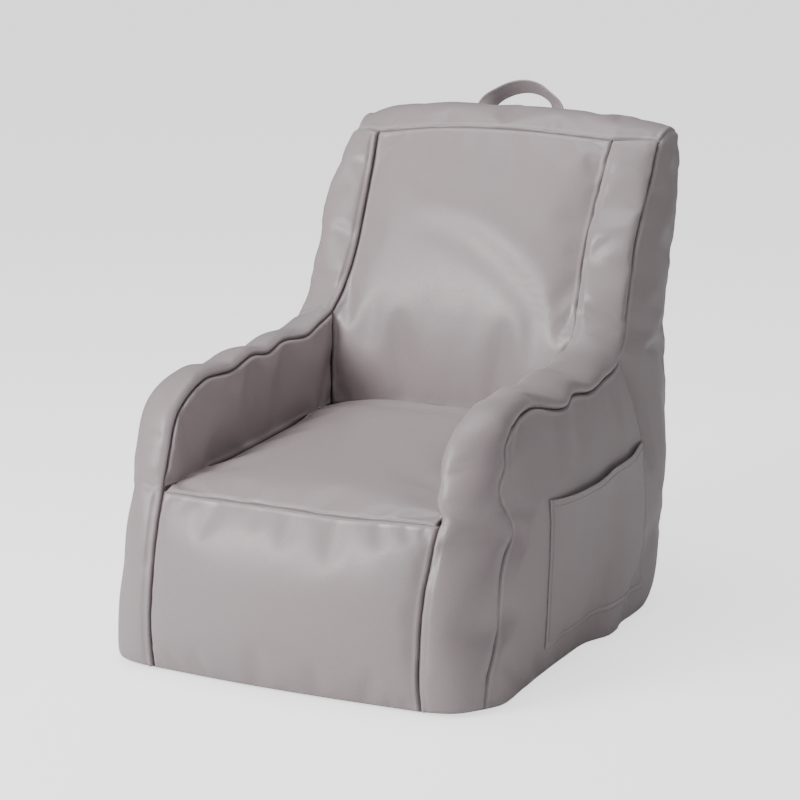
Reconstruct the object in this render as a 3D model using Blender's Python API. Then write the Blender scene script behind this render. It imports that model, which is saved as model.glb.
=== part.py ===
"""Bean bag armchair: a sewn, sectional cover over bead-filled liners.

Metres, +Z up. The chair faces -Y and its left and right are the sitter's,
so the left side is +X. The origin is on the floor, at the middle of the
overall length and width of the cover.
"""

import math

import bmesh
import bpy
from mathutils import Vector

# ---- driving dimensions -------------------------------------------------
CENTRE_HALF = 0.205        # half width of the centre panels
BAND_HALF = 0.272          # half distance between the two outer seams
SIDE_BULGE = 0.014         # how far a side panel domes out
TOP_Z = 0.690              # height of the seam at the front of the top panel
BACK_TAPER = 0.05          # share by which the back is narrower than the seat
SKIN = 0.003               # cover fabric with its backing
LINER = 0.0012             # liner fabric
GAP = 0.0005               # clearance between touching pieces
LINER_INSET = SKIN + 0.0020
FILL_INSET = LINER_INSET + LINER + 0.0008

FRONT_BULGE = 0.010
SEAT_CROWN = 0.020
BACK_BULGE = 0.012
TOP_CROWN = 0.004
REAR_BULGE = 0.018
BAND_BULGE = 0.009
BAND_SEAM = 0.0026         # clearance for the slant of the band's edge at the inner seam
SLANT_INSET = 0.0040       # the same, for the liners behind the band

BAFFLE_Y = 0.1365          # wall between the seat and the back
COMPARTMENT_Y = 0.1345     # front of the back compartment, before its inset
ARM_REAR_Y = 0.1355        # rear end of the inner arm panels

ZIP_Z = 0.135              # height of the closure across the rear
ZIP_HALF = 0.250           # half length of its chain
CHAIN_HALF = 0.0028
TAPE_HALF = 0.0105
SLIDER_LENGTH = 0.011
SLIDER_X = -0.236

POCKET_FRONT_Y = -0.146
POCKET_REAR_Y = 0.200
POCKET_BOTTOM_Z = 0.045
POCKET_TOP_Z = 0.257
POCKET_GAP = 0.0085
POCKET_EDGE_GAP = 0.0020
POCKET_SKIN = 0.0025

HANDLE_HALF = 0.066        # half distance between the strap's two ends
HANDLE_RISE = 0.050
HANDLE_WIDTH = 0.028
HANDLE_THICK = 0.003
HANDLE_LEAN = math.radians(38)
HANDLE_Y = 0.3715
HANDLE_Z = 0.7105

# ---- side outlines as (y, z) points; each pair of band edges is matched ----
BAND_INNER = [
    (-0.366, 0.004), (-0.371, 0.060), (-0.362, 0.140), (-0.345, 0.205),
    (-0.327, 0.255), (-0.312, 0.305), (-0.285, 0.352), (-0.235, 0.380),
    (-0.140, 0.387), (0.000, 0.396), (0.108, 0.407), (0.150, 0.430),
    (0.176, 0.475), (0.202, 0.530), (0.242, 0.610), (0.284, TOP_Z),
]
BAND_OUTER = [
    (-0.322, 0.004), (-0.303, 0.065), (-0.281, 0.140), (-0.268, 0.205),
    (-0.261, 0.260), (-0.252, 0.310), (-0.230, 0.348), (-0.190, 0.367),
    (-0.100, 0.371), (0.010, 0.373), (0.118, 0.381), (0.165, 0.412),
    (0.190, 0.475), (0.215, 0.535), (0.253, 0.612), (0.290, 0.687),
]
ARM_NOSE = 4               # index of the band point level with the seat
ARM_END = 10               # last band point on the arm
FRONT = [(-0.366, 0.004), (-0.371, 0.060), (-0.362, 0.140), (-0.342, 0.205), (-0.328, 0.249)]
SEAT = [(-0.324, 0.253), (-0.200, 0.258), (-0.050, 0.268), (0.080, 0.276), (0.134, 0.280)]
BACK = [(0.140, 0.287), (0.138, 0.350), (0.150, 0.420), (0.174, 0.470), (0.202, 0.530),
        (0.242, 0.610), (0.284, TOP_Z)]
TOP = [(0.287, 0.694), (0.312, 0.710), (0.342, 0.715), (0.366, 0.706)]
REAR = [(0.368, 0.702), (0.362, 0.600), (0.338, 0.500), (0.326, 0.430), (0.332, 0.350),
        (0.324, 0.230), (0.307, 0.146), (0.302, 0.124), (0.280, 0.050), (0.266, 0.004)]
REAR_LOWER = 7             # first point of the lower rear panel, under the zip

LEATHER = ("leather", (0.34, 0.30, 0.31), 0.38, 0.0)
WEBBING = ("strap", (0.30, 0.26, 0.27), 0.45, 0.0)
LINING = ("liner", (0.80, 0.79, 0.76), 0.90, 0.0)
BEADS = ("beads", (0.92, 0.92, 0.90), 0.80, 0.0)
TAPE = ("zip_tape", (0.26, 0.23, 0.24), 0.85, 0.0)
CHAIN = ("zip_chain", (0.30, 0.27, 0.28), 0.45, 0.0)
NICKEL = ("slider_metal", (0.62, 0.61, 0.60), 0.28, 1.0)
LABEL = ("label", (0.85, 0.84, 0.82), 0.85, 0.0)


# ---- small tools ----------------------------------------------------------
def clear_scene():
    for item in list(bpy.data.objects):
        bpy.data.objects.remove(item, do_unlink=True)


def material(spec):
    name, colour, roughness, metallic = spec
    made = bpy.data.materials.get(name)
    if made is None:
        made = bpy.data.materials.new(name)
        made.use_nodes = True
        shader = made.node_tree.nodes["Principled BSDF"]
        shader.inputs["Base Color"].default_value = (*colour, 1.0)
        shader.inputs["Roughness"].default_value = roughness
        shader.inputs["Metallic"].default_value = metallic
    return made


def taper(z):
    """The back is a little narrower than the seat."""
    return 1 - BACK_TAPER * smoothstep(0.38, 0.52, z)


def add_object(name, bm, spec):
    """Turn the mesh's normals outward and add it under the given name."""
    bmesh.ops.recalc_face_normals(bm, faces=bm.faces)
    mesh = bpy.data.meshes.new(name)
    bm.to_mesh(mesh)
    bm.free()
    mesh.shade_smooth()
    mesh.set_sharp_from_angle(angle=math.radians(40))
    mesh.materials.append(material(spec))
    made = bpy.data.objects.new(name, mesh)
    bpy.context.scene.collection.objects.link(made)
    return made


def spline(keys, steps):
    """Points of a smooth curve through the keys, with steps spans per key."""
    ends = [2 * Vector(keys[0]) - Vector(keys[1])]
    knots = ends + [Vector(key) for key in keys] + [2 * Vector(keys[-1]) - Vector(keys[-2])]
    points = []
    for i in range(1, len(knots) - 2):
        before, start, end, after = knots[i - 1:i + 3]
        for step in range(steps):
            t = step / steps
            bend = (end - before) * t + (2 * before - 5 * start + 4 * end - after) * t * t
            bend += (3 * start - before - 3 * end + after) * t ** 3
            points.append(start + 0.5 * bend)
    points.append(knots[-2])
    return points


def inset(outline, distance):
    """A closed outline moved inward, with mitred corners."""
    area = sum(a.x * b.y - b.x * a.y for a, b in zip(outline, outline[1:] + outline[:1]))
    side = 1 if area > 0 else -1
    moved = []
    for i, point in enumerate(outline):
        before = (point - outline[i - 1]).normalized()
        after = (outline[(i + 1) % len(outline)] - point).normalized()
        n1 = Vector((-before.y, before.x)) * side
        n2 = Vector((-after.y, after.x)) * side
        mitre = (n1 + n2).normalized()
        moved.append(point + mitre * (distance / max(mitre.dot(n1), 0.5)))
    return moved


def spread(low, high, count):
    return [low + (high - low) * i / (count - 1) for i in range(count)]


def arch(t):
    """1 in the middle of 0..1 and 0 at both ends."""
    return 4 * t * (1 - t)


def smoothstep(low, high, value):
    t = min(max((value - low) / (high - low), 0.0), 1.0)
    return t * t * (3 - 2 * t)


def panel_body(name, grid, thickness, spec):
    """A sheet with its outer face on the grid and its inner face behind it.

    Rows run so that row step x column step points out of the cover.
    """
    rows, columns = len(grid), len(grid[0])
    bm = bmesh.new()
    outer, inner = [], []
    for i in range(rows):
        for j in range(columns):
            along = grid[min(i + 1, rows - 1)][j] - grid[max(i - 1, 0)][j]
            across = grid[i][min(j + 1, columns - 1)] - grid[i][max(j - 1, 0)]
            normal = along.cross(across).normalized()
            outer.append(bm.verts.new(grid[i][j]))
            inner.append(bm.verts.new(grid[i][j] - normal * thickness))
    for i in range(rows - 1):
        for j in range(columns - 1):
            a, b = i * columns + j, i * columns + j + 1
            c, d = b + columns, a + columns
            bm.faces.new((outer[a], outer[b], outer[c], outer[d]))
            bm.faces.new((inner[d], inner[c], inner[b], inner[a]))
    rim = [j for j in range(columns)]
    rim += [i * columns + columns - 1 for i in range(1, rows)]
    rim += [(rows - 1) * columns + j for j in range(columns - 2, -1, -1)]
    rim += [i * columns for i in range(rows - 2, 0, -1)]
    for a, b in zip(rim, rim[1:] + rim[:1]):
        bm.faces.new((outer[a], inner[a], inner[b], outer[b]))
    for vertex in bm.verts:
        vertex.co.x *= taper(vertex.co.z)
    return add_object(name, bm, spec)


def ring_body(name, rings, spec):
    """A solid through a row of rings with equal counts, capped at both ends."""
    bm = bmesh.new()
    loops = [[bm.verts.new(point) for point in ring] for ring in rings]
    count = len(loops[0])
    for low, high in zip(loops, loops[1:]):
        for k in range(count):
            m = (k + 1) % count
            bm.faces.new((low[k], low[m], high[m]))
            bm.faces.new((low[k], high[m], high[k]))
    bm.faces.new(loops[0])
    bm.faces.new(loops[-1])
    return add_object(name, bm, spec)


def at_x(outline, x):
    return [Vector((x, point.x, point.y)) for point in outline]


def prism(name, outline, x0, x1, spec):
    return ring_body(name, [at_x(outline, x0), at_x(outline, x1)], spec)


def box(name, low, high, spec):
    outline = [Vector((low[1], low[2])), Vector((high[1], low[2])),
               Vector((high[1], high[2])), Vector((low[1], high[2]))]
    return prism(name, outline, low[0], high[0], spec)


def filled_liner(name, sections, spec):
    """The bead fill and its liner bag, whose filling mouth is at the last section.

    Each section is (x, outline), where the outline is the cover's outer face.
    """
    mouth = 0.35
    xs = [x for x, _ in sections]
    wall = math.copysign(LINER, xs[-1] - xs[0])
    slack = math.copysign(LINER + GAP, wall)
    bag = [inset(outline, LINER_INSET) for _, outline in sections]
    hollow = [inset(outline, LINER_INSET + LINER) for _, outline in sections]
    fill = [inset(outline, FILL_INSET) for _, outline in sections]
    centre = sum(bag[-1], Vector((0, 0))) / len(bag[-1])
    hole = [centre.lerp(point, mouth) for point in bag[-1]]
    inner_xs = [xs[0] + wall] + xs[1:-1] + [xs[-1] - wall]
    fill_xs = [xs[0] + slack] + xs[1:-1] + [xs[-1] - slack]
    rings = [at_x(outline, x) for x, outline in zip(xs, bag)]
    rings += [at_x(hole, xs[-1]), at_x(hole, xs[-1] - wall)]
    rings += [at_x(outline, x) for x, outline in reversed(list(zip(inner_xs, hollow)))]
    ring_body(name + "_liner", rings, LINING)
    fill_rings = [at_x(outline, x) for x, outline in zip(fill_xs, fill)]
    ring_body(name + "_bead_fill", fill_rings[::-1], spec)


# ---- the cover's outer faces ------------------------------------------------
def bulge_across(x, half):
    return arch(0.5 + 0.5 * x / half)


def front_points(x, steps=2):
    out = FRONT_BULGE * bulge_across(x, CENTRE_HALF)
    points = spline(FRONT, steps)
    last = len(points) - 1
    return [p + Vector((-out * math.sin(math.pi * (0.15 + 0.85 * k / last)), 0))
            for k, p in enumerate(points)]


def seat_points(x, steps=2):
    out = SEAT_CROWN * bulge_across(x, CENTRE_HALF)
    points = spline(SEAT, steps)
    last = len(points) - 1
    return [p + Vector((0, out * math.sin(math.pi * k / last))) for k, p in enumerate(points)]


def back_points(x, steps=2):
    out = BACK_BULGE * bulge_across(x, CENTRE_HALF)
    points = spline(BACK, steps)
    last = len(points) - 1
    return [p + Vector((-out * math.sin(math.pi * k / last), 0)) for k, p in enumerate(points)]


def top_points(x, steps=2):
    out = TOP_CROWN * bulge_across(x, BAND_HALF)
    points = spline(TOP, steps)
    last = len(points) - 1
    return [p + Vector((0, out * math.sin(math.pi * k / last))) for k, p in enumerate(points)]


def rear_points(x, steps=1):
    out = REAR_BULGE * bulge_across(x, BAND_HALF)
    return [p + Vector((out * smoothstep(0.16, 0.30, p.y) * smoothstep(0.702, 0.60, p.y), 0))
            for p in spline(REAR, steps)]


def band_points(across, steps=2):
    """The band's outline at a share of its width, from the inner seam to the outer."""
    inner, outer = spline(BAND_INNER, steps), spline(BAND_OUTER, steps)
    last = len(inner) - 1
    result = []
    for k, (a, b) in enumerate(zip(inner, outer)):
        along = (inner[min(k + 1, last)] - inner[max(k - 1, 0)]).normalized()
        normal = Vector((-along.y, along.x))
        fade = smoothstep(0, 3, k) * smoothstep(last, last - 3, k)
        result.append(a.lerp(b, across) + normal * (BAND_BULGE * arch(across) * fade))
    return result


def band_x(across):
    start, end = CENTRE_HALF + BAND_SEAM, BAND_HALF - GAP
    return start + (end - start) * across


def edge_y(points, z):
    """Where a climbing outline reaches a height."""
    if z <= points[0].y:
        return points[0].x
    for low, high in zip(points, points[1:]):
        if low.y <= z <= high.y:
            return low.x + (high.x - low.x) * (z - low.y) / (high.y - low.y)
    return points[-1].x


def rear_y(z, x=0.0):
    """The rear face's y at a height."""
    return edge_y(rear_points(x, 4)[::-1], z)


def side_edges(z):
    """The front and rear edge of the side panels at a height, up to the top panel's crown."""
    crest = [Vector(key) for key in TOP]
    front = spline(BAND_OUTER, 4) + crest[:3]
    rear = rear_points(BAND_HALF, 4)[::-1] + crest[:1:-1]
    return edge_y(front, z), edge_y(rear, z)


def side_x(y, z):
    """The outer face of the left side panel."""
    front, rear = side_edges(z)
    u = (y - front) / (rear - front)
    along = 1 - abs(2 * min(max(u, 0), 1) - 1) ** 4
    tall = smoothstep(-0.01, 0.10, z) * smoothstep(0.70, 0.55, z)
    return BAND_HALF + SKIN + GAP + SIDE_BULGE * along * tall


# ---- cover panels --------------------------------------------------------------
def strip(name, points_at, xs, spec, span=slice(None)):
    """A panel whose (y, z) outline is given at each x."""
    columns = [points_at(x)[span] for x in xs]
    rows = range(len(columns[0]))
    grid = [[Vector((x, c[i].x, c[i].y)) for x, c in zip(xs, columns)] for i in rows]
    flipped = [list(reversed(row)) for row in grid]
    return panel_body(name, flipped, SKIN, spec)


def build_centre_panels():
    front_xs = spread(-CENTRE_HALF + GAP, CENTRE_HALF - GAP, 9)
    inside_half = CENTRE_HALF - SKIN - 2 * GAP
    inside_xs = spread(-inside_half, inside_half, 9)
    strip("front_panel", front_points, front_xs, LEATHER)
    strip("seat_panel", seat_points, inside_xs, LEATHER)
    strip("inside_back_panel", back_points, inside_xs, LEATHER)


def build_top_and_rear():
    xs = spread(-BAND_HALF + GAP, BAND_HALF - GAP, 11)
    strip("top_panel", top_points, xs, LEATHER)
    strip("rear_panel_upper", rear_points, xs, LEATHER, slice(0, REAR_LOWER))
    strip("rear_panel_lower", rear_points, xs, LEATHER, slice(REAR_LOWER, None))


def build_base():
    """A flat panel under everything, rounded at its two front corners."""
    front_y, corner_y, rear_edge = FRONT[0][0], BAND_OUTER[0][0], REAR[-1][0]
    half = BAND_HALF + SKIN
    corner = [Vector((half, rear_edge)), Vector((half, corner_y))]
    corner_steps = 5
    for k in range(1, corner_steps):
        angle = math.pi / 2 * k / corner_steps
        corner.append(Vector((CENTRE_HALF + (half - CENTRE_HALF) * math.cos(angle),
                              corner_y + (front_y - corner_y) * math.sin(angle))))
    corner.append(Vector((CENTRE_HALF, front_y)))
    outline = corner + [Vector((-p.x, p.y)) for p in reversed(corner)]
    rings = [[Vector((p.x, p.y, z)) for p in outline] for z in (0.0, SKIN)]
    ring_body("base_panel", rings, LEATHER)


def mirrored(points, side):
    return [Vector((p.x * side, p.y, p.z)) for p in points]


def build_band(word, side):
    columns = [mirrored(at_x(band_points(across), band_x(across)), side)
               for across in spread(0, 1, 4)]
    grid = [list(row) for row in zip(*columns)]
    if side > 0:
        grid = [list(reversed(row)) for row in grid]
    panel_body(word + "_arm_band", grid, SKIN, LEATHER)


def inner_arm_outline():
    upper = spline(BAND_INNER[ARM_NOSE:ARM_END + 1], 2)
    lower = [Vector((ARM_REAR_Y, SEAT[-1][1] + 0.004)), Vector((SEAT[1][0], SEAT[1][1] + 0.004))]
    return [p for p in upper if p.x < ARM_REAR_Y] + [Vector((ARM_REAR_Y, 0.413))] + lower


def build_inner_arm(word, side):
    x0, x1 = CENTRE_HALF - SKIN - GAP, CENTRE_HALF - GAP
    prism(word + "_inner_arm_panel", inner_arm_outline(), side * x0, side * x1, LEATHER)


def side_levels():
    """Heights that follow the outline closely where the arm's top is nearly level."""
    return [0.004, 0.05, 0.10, 0.16, 0.22, 0.28, 0.325, 0.35, 0.362, 0.3675, 0.3715, 0.376, 0.381,
            0.395, 0.42, 0.475, 0.55, 0.622, 0.66, 0.687, 0.701, 0.708, 0.7135]


def build_side(word, side):
    grid = []
    for z in side_levels():
        front, rear = side_edges(z)
        row = [Vector((side * side_x(y, z), y, z)) for y in spread(front, rear, 11)]
        grid.append(row if side < 0 else list(reversed(row)))
    panel_body(word + "_side_panel", grid, SKIN, LEATHER)


def build_pocket():
    """A patch on the left side, sewn along three edges and open at the top."""
    ys = [POCKET_FRONT_Y, POCKET_FRONT_Y + 0.010] + spread(-0.10, 0.17, 7)
    ys += [POCKET_REAR_Y - 0.010, POCKET_REAR_Y]
    zs = [POCKET_BOTTOM_Z, POCKET_BOTTOM_Z + 0.010] + spread(0.07, POCKET_TOP_Z, 5)
    grid = []
    for z in zs:
        row = []
        for y in ys:
            from_edge = min(y - POCKET_FRONT_Y, POCKET_REAR_Y - y, z - POCKET_BOTTOM_Z)
            stand_off = POCKET_EDGE_GAP + (POCKET_GAP - POCKET_EDGE_GAP) * smoothstep(0, 0.012, from_edge)
            row.append(Vector((side_x(y, z) + stand_off + POCKET_SKIN, y, z)))
        grid.append(list(reversed(row)))
    panel_body("side_pocket", grid, POCKET_SKIN, LEATHER)


# ---- inside ----------------------------------------------------------------------
def seat_outline(x):
    rear = [Vector((COMPARTMENT_Y + 0.0005, 0.279)), Vector((COMPARTMENT_Y + 0.0005, 0.0))]
    low_front = front_points(x, 1)
    return [Vector((low_front[0].x, 0.0))] + low_front[1:] + seat_points(x, 2)[1:-1] + rear


def arm_outline(across):
    line = band_points(across)[:2 * ARM_END + 1]
    rear = [Vector((COMPARTMENT_Y, line[-1].y + 0.002)), Vector((COMPARTMENT_Y, 0.0))]
    return inset([Vector((line[0].x, 0.0))] + line[1:] + rear, SLANT_INSET)


def back_outline(x):
    """The back compartment: baffle plane, back face, top, rear and floor."""
    if abs(x) < CENTRE_HALF:
        face = back_points(x)
    else:
        across = (abs(x) - CENTRE_HALF) / (BAND_HALF - CENTRE_HALF)
        face = spline(BACK, 2)[:4] + band_points(across)[2 * ARM_END + 2:]
    rear = rear_points(x, 1)
    floor = [Vector((rear[-1].x, 0.0)), Vector((COMPARTMENT_Y, 0.0))]
    return inset(face + top_points(x, 1)[1:] + rear[1:-1] + floor, SLANT_INSET)


def build_fills():
    half = CENTRE_HALF - SKIN - 2 * GAP - 0.0005
    filled_liner("seat", [(x, seat_outline(x)) for x in spread(-half, half, 5)], BEADS)
    back_half = BAND_HALF - GAP
    middle = (CENTRE_HALF + BAND_HALF) / 2
    stations = (-back_half, -middle, -CENTRE_HALF, -0.11, 0.0, 0.11, CENTRE_HALF, middle, back_half)
    narrowed = 1 - BACK_TAPER
    filled_liner("back", [(x * narrowed, back_outline(x)) for x in stations], BEADS)
    for word, side in (("left_arm", 1), ("right_arm", -1)):
        sections = [(side * band_x(across), arm_outline(across)) for across in spread(1, 0, 4)]
        filled_liner(word, sections, BEADS)


def build_baffles():
    front = inset(seat_outline(CENTRE_HALF), SKIN + 2 * GAP)
    for word, side in (("left", 1), ("right", -1)):
        x0, x1 = CENTRE_HALF - SKIN - GAP, CENTRE_HALF - GAP - 0.0015
        prism(word + "_baffle", front, side * x0, side * x1, LINING)
    half = CENTRE_HALF - SKIN - 2 * GAP
    box("rear_baffle", (-half, BAFFLE_Y - 0.0007, 0.0045), (half, BAFFLE_Y + 0.0005, 0.272), LINING)


# ---- closure, label and handle ------------------------------------------------------
def rear_patch(name, x0, x1, z0, z1, lift, thickness, spec):
    """A flat-lying strip on the rear face, its outer face lifted by the given height."""
    zs = spread(z1, z0, 3)
    grid = [[Vector((x, rear_y(z, x) + lift, z)) for x in (x1, 0.5 * (x0 + x1), x0)] for z in zs]
    return panel_body(name, grid, thickness, spec)


def build_zip():
    tape_top, tape_low = ZIP_Z + TAPE_HALF, ZIP_Z - TAPE_HALF
    chain_top, chain_low = ZIP_Z + CHAIN_HALF, ZIP_Z - CHAIN_HALF
    reach = ZIP_HALF + 0.012
    rear_patch("zip_upper_tape", -reach, reach, chain_top + GAP, tape_top - GAP, -0.001, 0.001, TAPE)
    rear_patch("zip_lower_tape", -reach, reach, tape_low + GAP, chain_low - GAP, -0.001, 0.001, TAPE)
    face = rear_y(ZIP_Z)
    low_y, high_y = face - 0.002, face + 0.0005
    for word, z0, z1 in (("upper", ZIP_Z + 0.00025, chain_top), ("lower", chain_low, ZIP_Z - 0.00025)):
        box("zip_" + word + "_teeth", (-ZIP_HALF, low_y, z0), (ZIP_HALF, high_y, z1), CHAIN)
    for word, side in (("left", 1), ("right", -1)):
        x0, x1 = sorted((side * (ZIP_HALF + GAP), side * (ZIP_HALF + 0.0045)))
        box("zip_stop_" + word, (x0, low_y, chain_low), (x1, high_y + 0.0005, chain_top), NICKEL)
    return face


def build_slider(face):
    low_y, half_z = face + 0.0010, 0.0045
    outline = [Vector((low_y, ZIP_Z - half_z)), Vector((low_y, ZIP_Z + half_z)),
               Vector((low_y + 0.0012, ZIP_Z + half_z)), Vector((low_y + 0.0026, ZIP_Z + half_z * 0.6)),
               Vector((low_y + 0.0026, ZIP_Z - half_z * 0.6)), Vector((low_y + 0.0012, ZIP_Z - half_z))]
    local = [Vector((p.x - low_y, p.y - ZIP_Z)) for p in outline]
    slider = prism("zip_slider", local, -SLIDER_LENGTH / 2, SLIDER_LENGTH / 2, NICKEL)
    slider.location = (SLIDER_X, low_y, ZIP_Z)


def build_garage(face):
    """A small fabric hood over the closed end, where the slider parks."""
    wall, half_z = 0.001, 0.0075
    low_y, high_y = face + 0.0012, face + 0.0058
    outer = [(low_y, -half_z), (high_y, -half_z), (high_y, half_z), (low_y, half_z)]
    inner = [(low_y, half_z - wall), (high_y - wall, half_z - wall),
             (high_y - wall, -half_z + wall), (low_y, -half_z + wall)]
    outline = [Vector((y, ZIP_Z + z)) for y, z in outer + inner]
    prism("zip_garage", outline, SLIDER_X - 0.016, SLIDER_X + 0.012, LEATHER)


def build_label():
    rear_patch("care_label", 0.170, 0.212, 0.152, 0.176, 0.0016, 0.0005, LABEL)


def strap_point(t):
    """Where the strap's centre is at a share of its length, in its own leaning plane."""
    angle = math.pi * (1 - t)
    return HANDLE_HALF * math.cos(angle), 0.002 + HANDLE_RISE * abs(math.sin(angle)) ** 1.2


def build_handle():
    """A flat strap whose ends lie in the rear top seam, twisted into an arch."""
    up = Vector((0, math.sin(HANDLE_LEAN), math.cos(HANDLE_LEAN)))
    out = Vector((0, math.cos(HANDLE_LEAN), -math.sin(HANDLE_LEAN)))
    count = 24
    line = [strap_point(k / count) for k in range(count + 1)]
    centre = [Vector((x, 0, 0)) + up * height for x, height in line]
    rings = []
    for k, point in enumerate(centre):
        if 0 < k < count:
            along = (centre[k + 1] - centre[k - 1]).normalized()
        else:
            along = up if k == 0 else -up
        inward = out.cross(along).normalized()
        turn = math.pi / 2 * smoothstep(0.0, 0.30, min(k, count - k) / count)
        wide = (inward * math.cos(turn) + out * math.sin(turn)).normalized()
        thin = wide.cross(along).normalized()
        half = HANDLE_WIDTH / 2 * (0.72 + 0.28 * math.sin(turn))
        corners = ((half, 0.5), (-half, 0.5), (-half, -0.5), (half, -0.5))
        rings.append([point + wide * w + thin * (HANDLE_THICK * s) for w, s in corners])
    strap = ring_body("carry_handle", rings, WEBBING)
    strap.location = (0, HANDLE_Y, HANDLE_Z)


def main():
    clear_scene()
    build_centre_panels()
    build_top_and_rear()
    build_base()
    for word, side in (("left", 1), ("right", -1)):
        build_band(word, side)
        build_inner_arm(word, side)
        build_side(word, side)
    build_pocket()
    build_fills()
    build_baffles()
    face = build_zip()
    build_slider(face)
    build_garage(face)
    build_label()
    build_handle()


main()
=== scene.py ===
"""A padded bean bag armchair with a sewn faux leather cover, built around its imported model."""

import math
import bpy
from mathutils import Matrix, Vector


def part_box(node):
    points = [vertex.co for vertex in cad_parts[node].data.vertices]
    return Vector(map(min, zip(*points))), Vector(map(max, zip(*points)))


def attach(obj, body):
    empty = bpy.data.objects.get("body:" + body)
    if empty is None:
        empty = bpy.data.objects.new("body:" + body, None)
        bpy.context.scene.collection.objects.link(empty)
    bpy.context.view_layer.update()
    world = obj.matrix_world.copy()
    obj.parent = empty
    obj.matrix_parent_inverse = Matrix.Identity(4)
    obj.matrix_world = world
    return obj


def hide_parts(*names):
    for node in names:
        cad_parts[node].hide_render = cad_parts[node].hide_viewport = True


bl_info = {
    "name": "Bean Bag Armchair",
    "version": (1, 0, 0),
    "blender": (4, 5, 0),
    "location": "View3D > Sidebar > Armchair",
    "description": "Builds the armchair's sewn cover, zip, strap, filling and studio",
    "category": "Object",
}

import bmesh
import bpy
import numpy as np
from bpy.props import FloatProperty, FloatVectorProperty, PointerProperty
from mathutils import Vector, noise
from mathutils.bvhtree import BVHTree
from mathutils.kdtree import KDTree

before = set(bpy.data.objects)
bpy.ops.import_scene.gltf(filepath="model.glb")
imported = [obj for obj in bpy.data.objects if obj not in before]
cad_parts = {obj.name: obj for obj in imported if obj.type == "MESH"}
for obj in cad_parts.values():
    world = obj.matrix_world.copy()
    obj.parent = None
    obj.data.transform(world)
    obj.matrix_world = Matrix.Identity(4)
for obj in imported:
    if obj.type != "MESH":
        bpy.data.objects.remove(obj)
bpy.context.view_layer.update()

SIDES = {"left": 1, "right": -1}

# Seams as (x, y, z) points in millimetres. Seen by the sitter, left is +X.
SEAM_FRONT = {
    "left": [(213, -366, 4), (212, -371, 60), (212, -362, 140), (216, -345, 205), (219, -328, 251)],
    "right": [(205, -364, 4), (205, -370, 70), (205, -360, 150), (205, -346, 205), (206, -328, 249)],
}
SEAM_ARM = {
    "left": [(219, -328, 251), (214, -315, 300), (212, -290, 348), (214, -240, 378), (213, -190, 384),
             (211, -140, 391), (210, -90, 387), (208, -40, 396), (206, 10, 394), (204, 60, 403),
             (201, 105, 407), (198, 140, 424)],
    "right": [(206, -328, 249), (204, -313, 301), (205, -297, 339), (205, -267, 366), (206, -216, 385),
              (203, -181, 386), (204, -140, 385), (206, -86, 397), (203, -44, 392), (205, 3, 403),
              (202, 66, 399), (201, 106, 411), (198, 140, 424)],
}
SEAM_BACK = {
    "left": [(198, 140, 424), (194, 168, 462), (189, 196, 512), (189, 216, 556), (190, 240, 602),
             (192, 262, 648), (195, 282, 692)],
    "right": [(198, 140, 424), (191, 165, 458), (187, 194, 508), (188, 218, 556), (189, 240, 602),
              (191, 260, 642), (194, 280, 684)],
}
SEAM_OUTER_ARM = {
    "left": [(282, -318, 4), (282, -308, 44), (283, -293, 78), (281, -275, 111), (282, -276, 147),
             (283, -272, 180), (282, -258, 206), (283, -238, 227), (280, -244, 250), (276, -260, 275),
             (275, -263, 300), (277, -250, 322), (274, -245, 346), (276, -226, 364), (272, -186, 377),
             (273, -145, 380), (275, -90, 366), (277, -52, 361), (272, -20, 373), (276, 30, 367),
             (273, 80, 374), (270, 132, 382), (263, 166, 402)],
    "right": [(284, -320, 4), (286, -308, 50), (284, -299, 95), (283, -288, 140), (282, -282, 185),
              (283, -269, 225), (281, -267, 262), (281, -256, 300), (278, -248, 335), (277, -222, 359),
              (273, -175, 371), (275, -120, 368), (273, -65, 374), (275, -10, 371), (273, 45, 377),
              (272, 100, 379), (263, 160, 402)],
}
SEAM_OUTER_BACK = {
    "left": [(263, 166, 402), (261, 186, 428), (262, 192, 468), (260, 212, 510), (262, 219, 553),
             (260, 250, 594), (262, 270, 632), (262, 294, 676), (262, 305, 692)],
    "right": [(263, 160, 402), (261, 188, 436), (262, 200, 478), (261, 216, 522), (262, 232, 566),
              (259, 248, 602), (250, 262, 634), (247, 280, 662), (240, 292, 682)],
}
REAR_LOW = [(272, 264, 4), (276, 284, 50), (275, 302, 124.5)]
REAR_ZIP = [(275, 302, 124.5), (275, 307, 145.5)]
REAR_MID = [(275, 307, 145.5), (272, 322, 230), (268, 330, 330), (264, 328, 402)]
REAR_HIGH = {
    "left": [(264, 328, 402), (264, 328, 440), (266, 343, 510), (267, 363, 600), (267, 370, 660),
             (262, 370, 700)],
    "right": [(264, 328, 402), (262, 327, 445), (260, 342, 520), (257, 358, 590), (250, 364, 650),
              (236, 366, 694)],
}
SEAT_SIDE = [(204, -120, 262), (204, 20, 272)]
SEAT_REAR = (200, 136, 281)
BACK_SIDE = [(201, 138, 350)]
FOOT = {
    "left": [(297, -281, 4), (292, -215, 4), (286, -140, 4), (282, -60, 4), (281, 15, 4), (297, 72, 4),
             (288, 140, 4), (283, 215, 4)],
    "right": [(294, -270, 4), (297, -200, 4), (288, -120, 4), (284, -30, 4), (292, 45, 4), (286, 120, 4),
              (281, 205, 4)],
}
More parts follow.
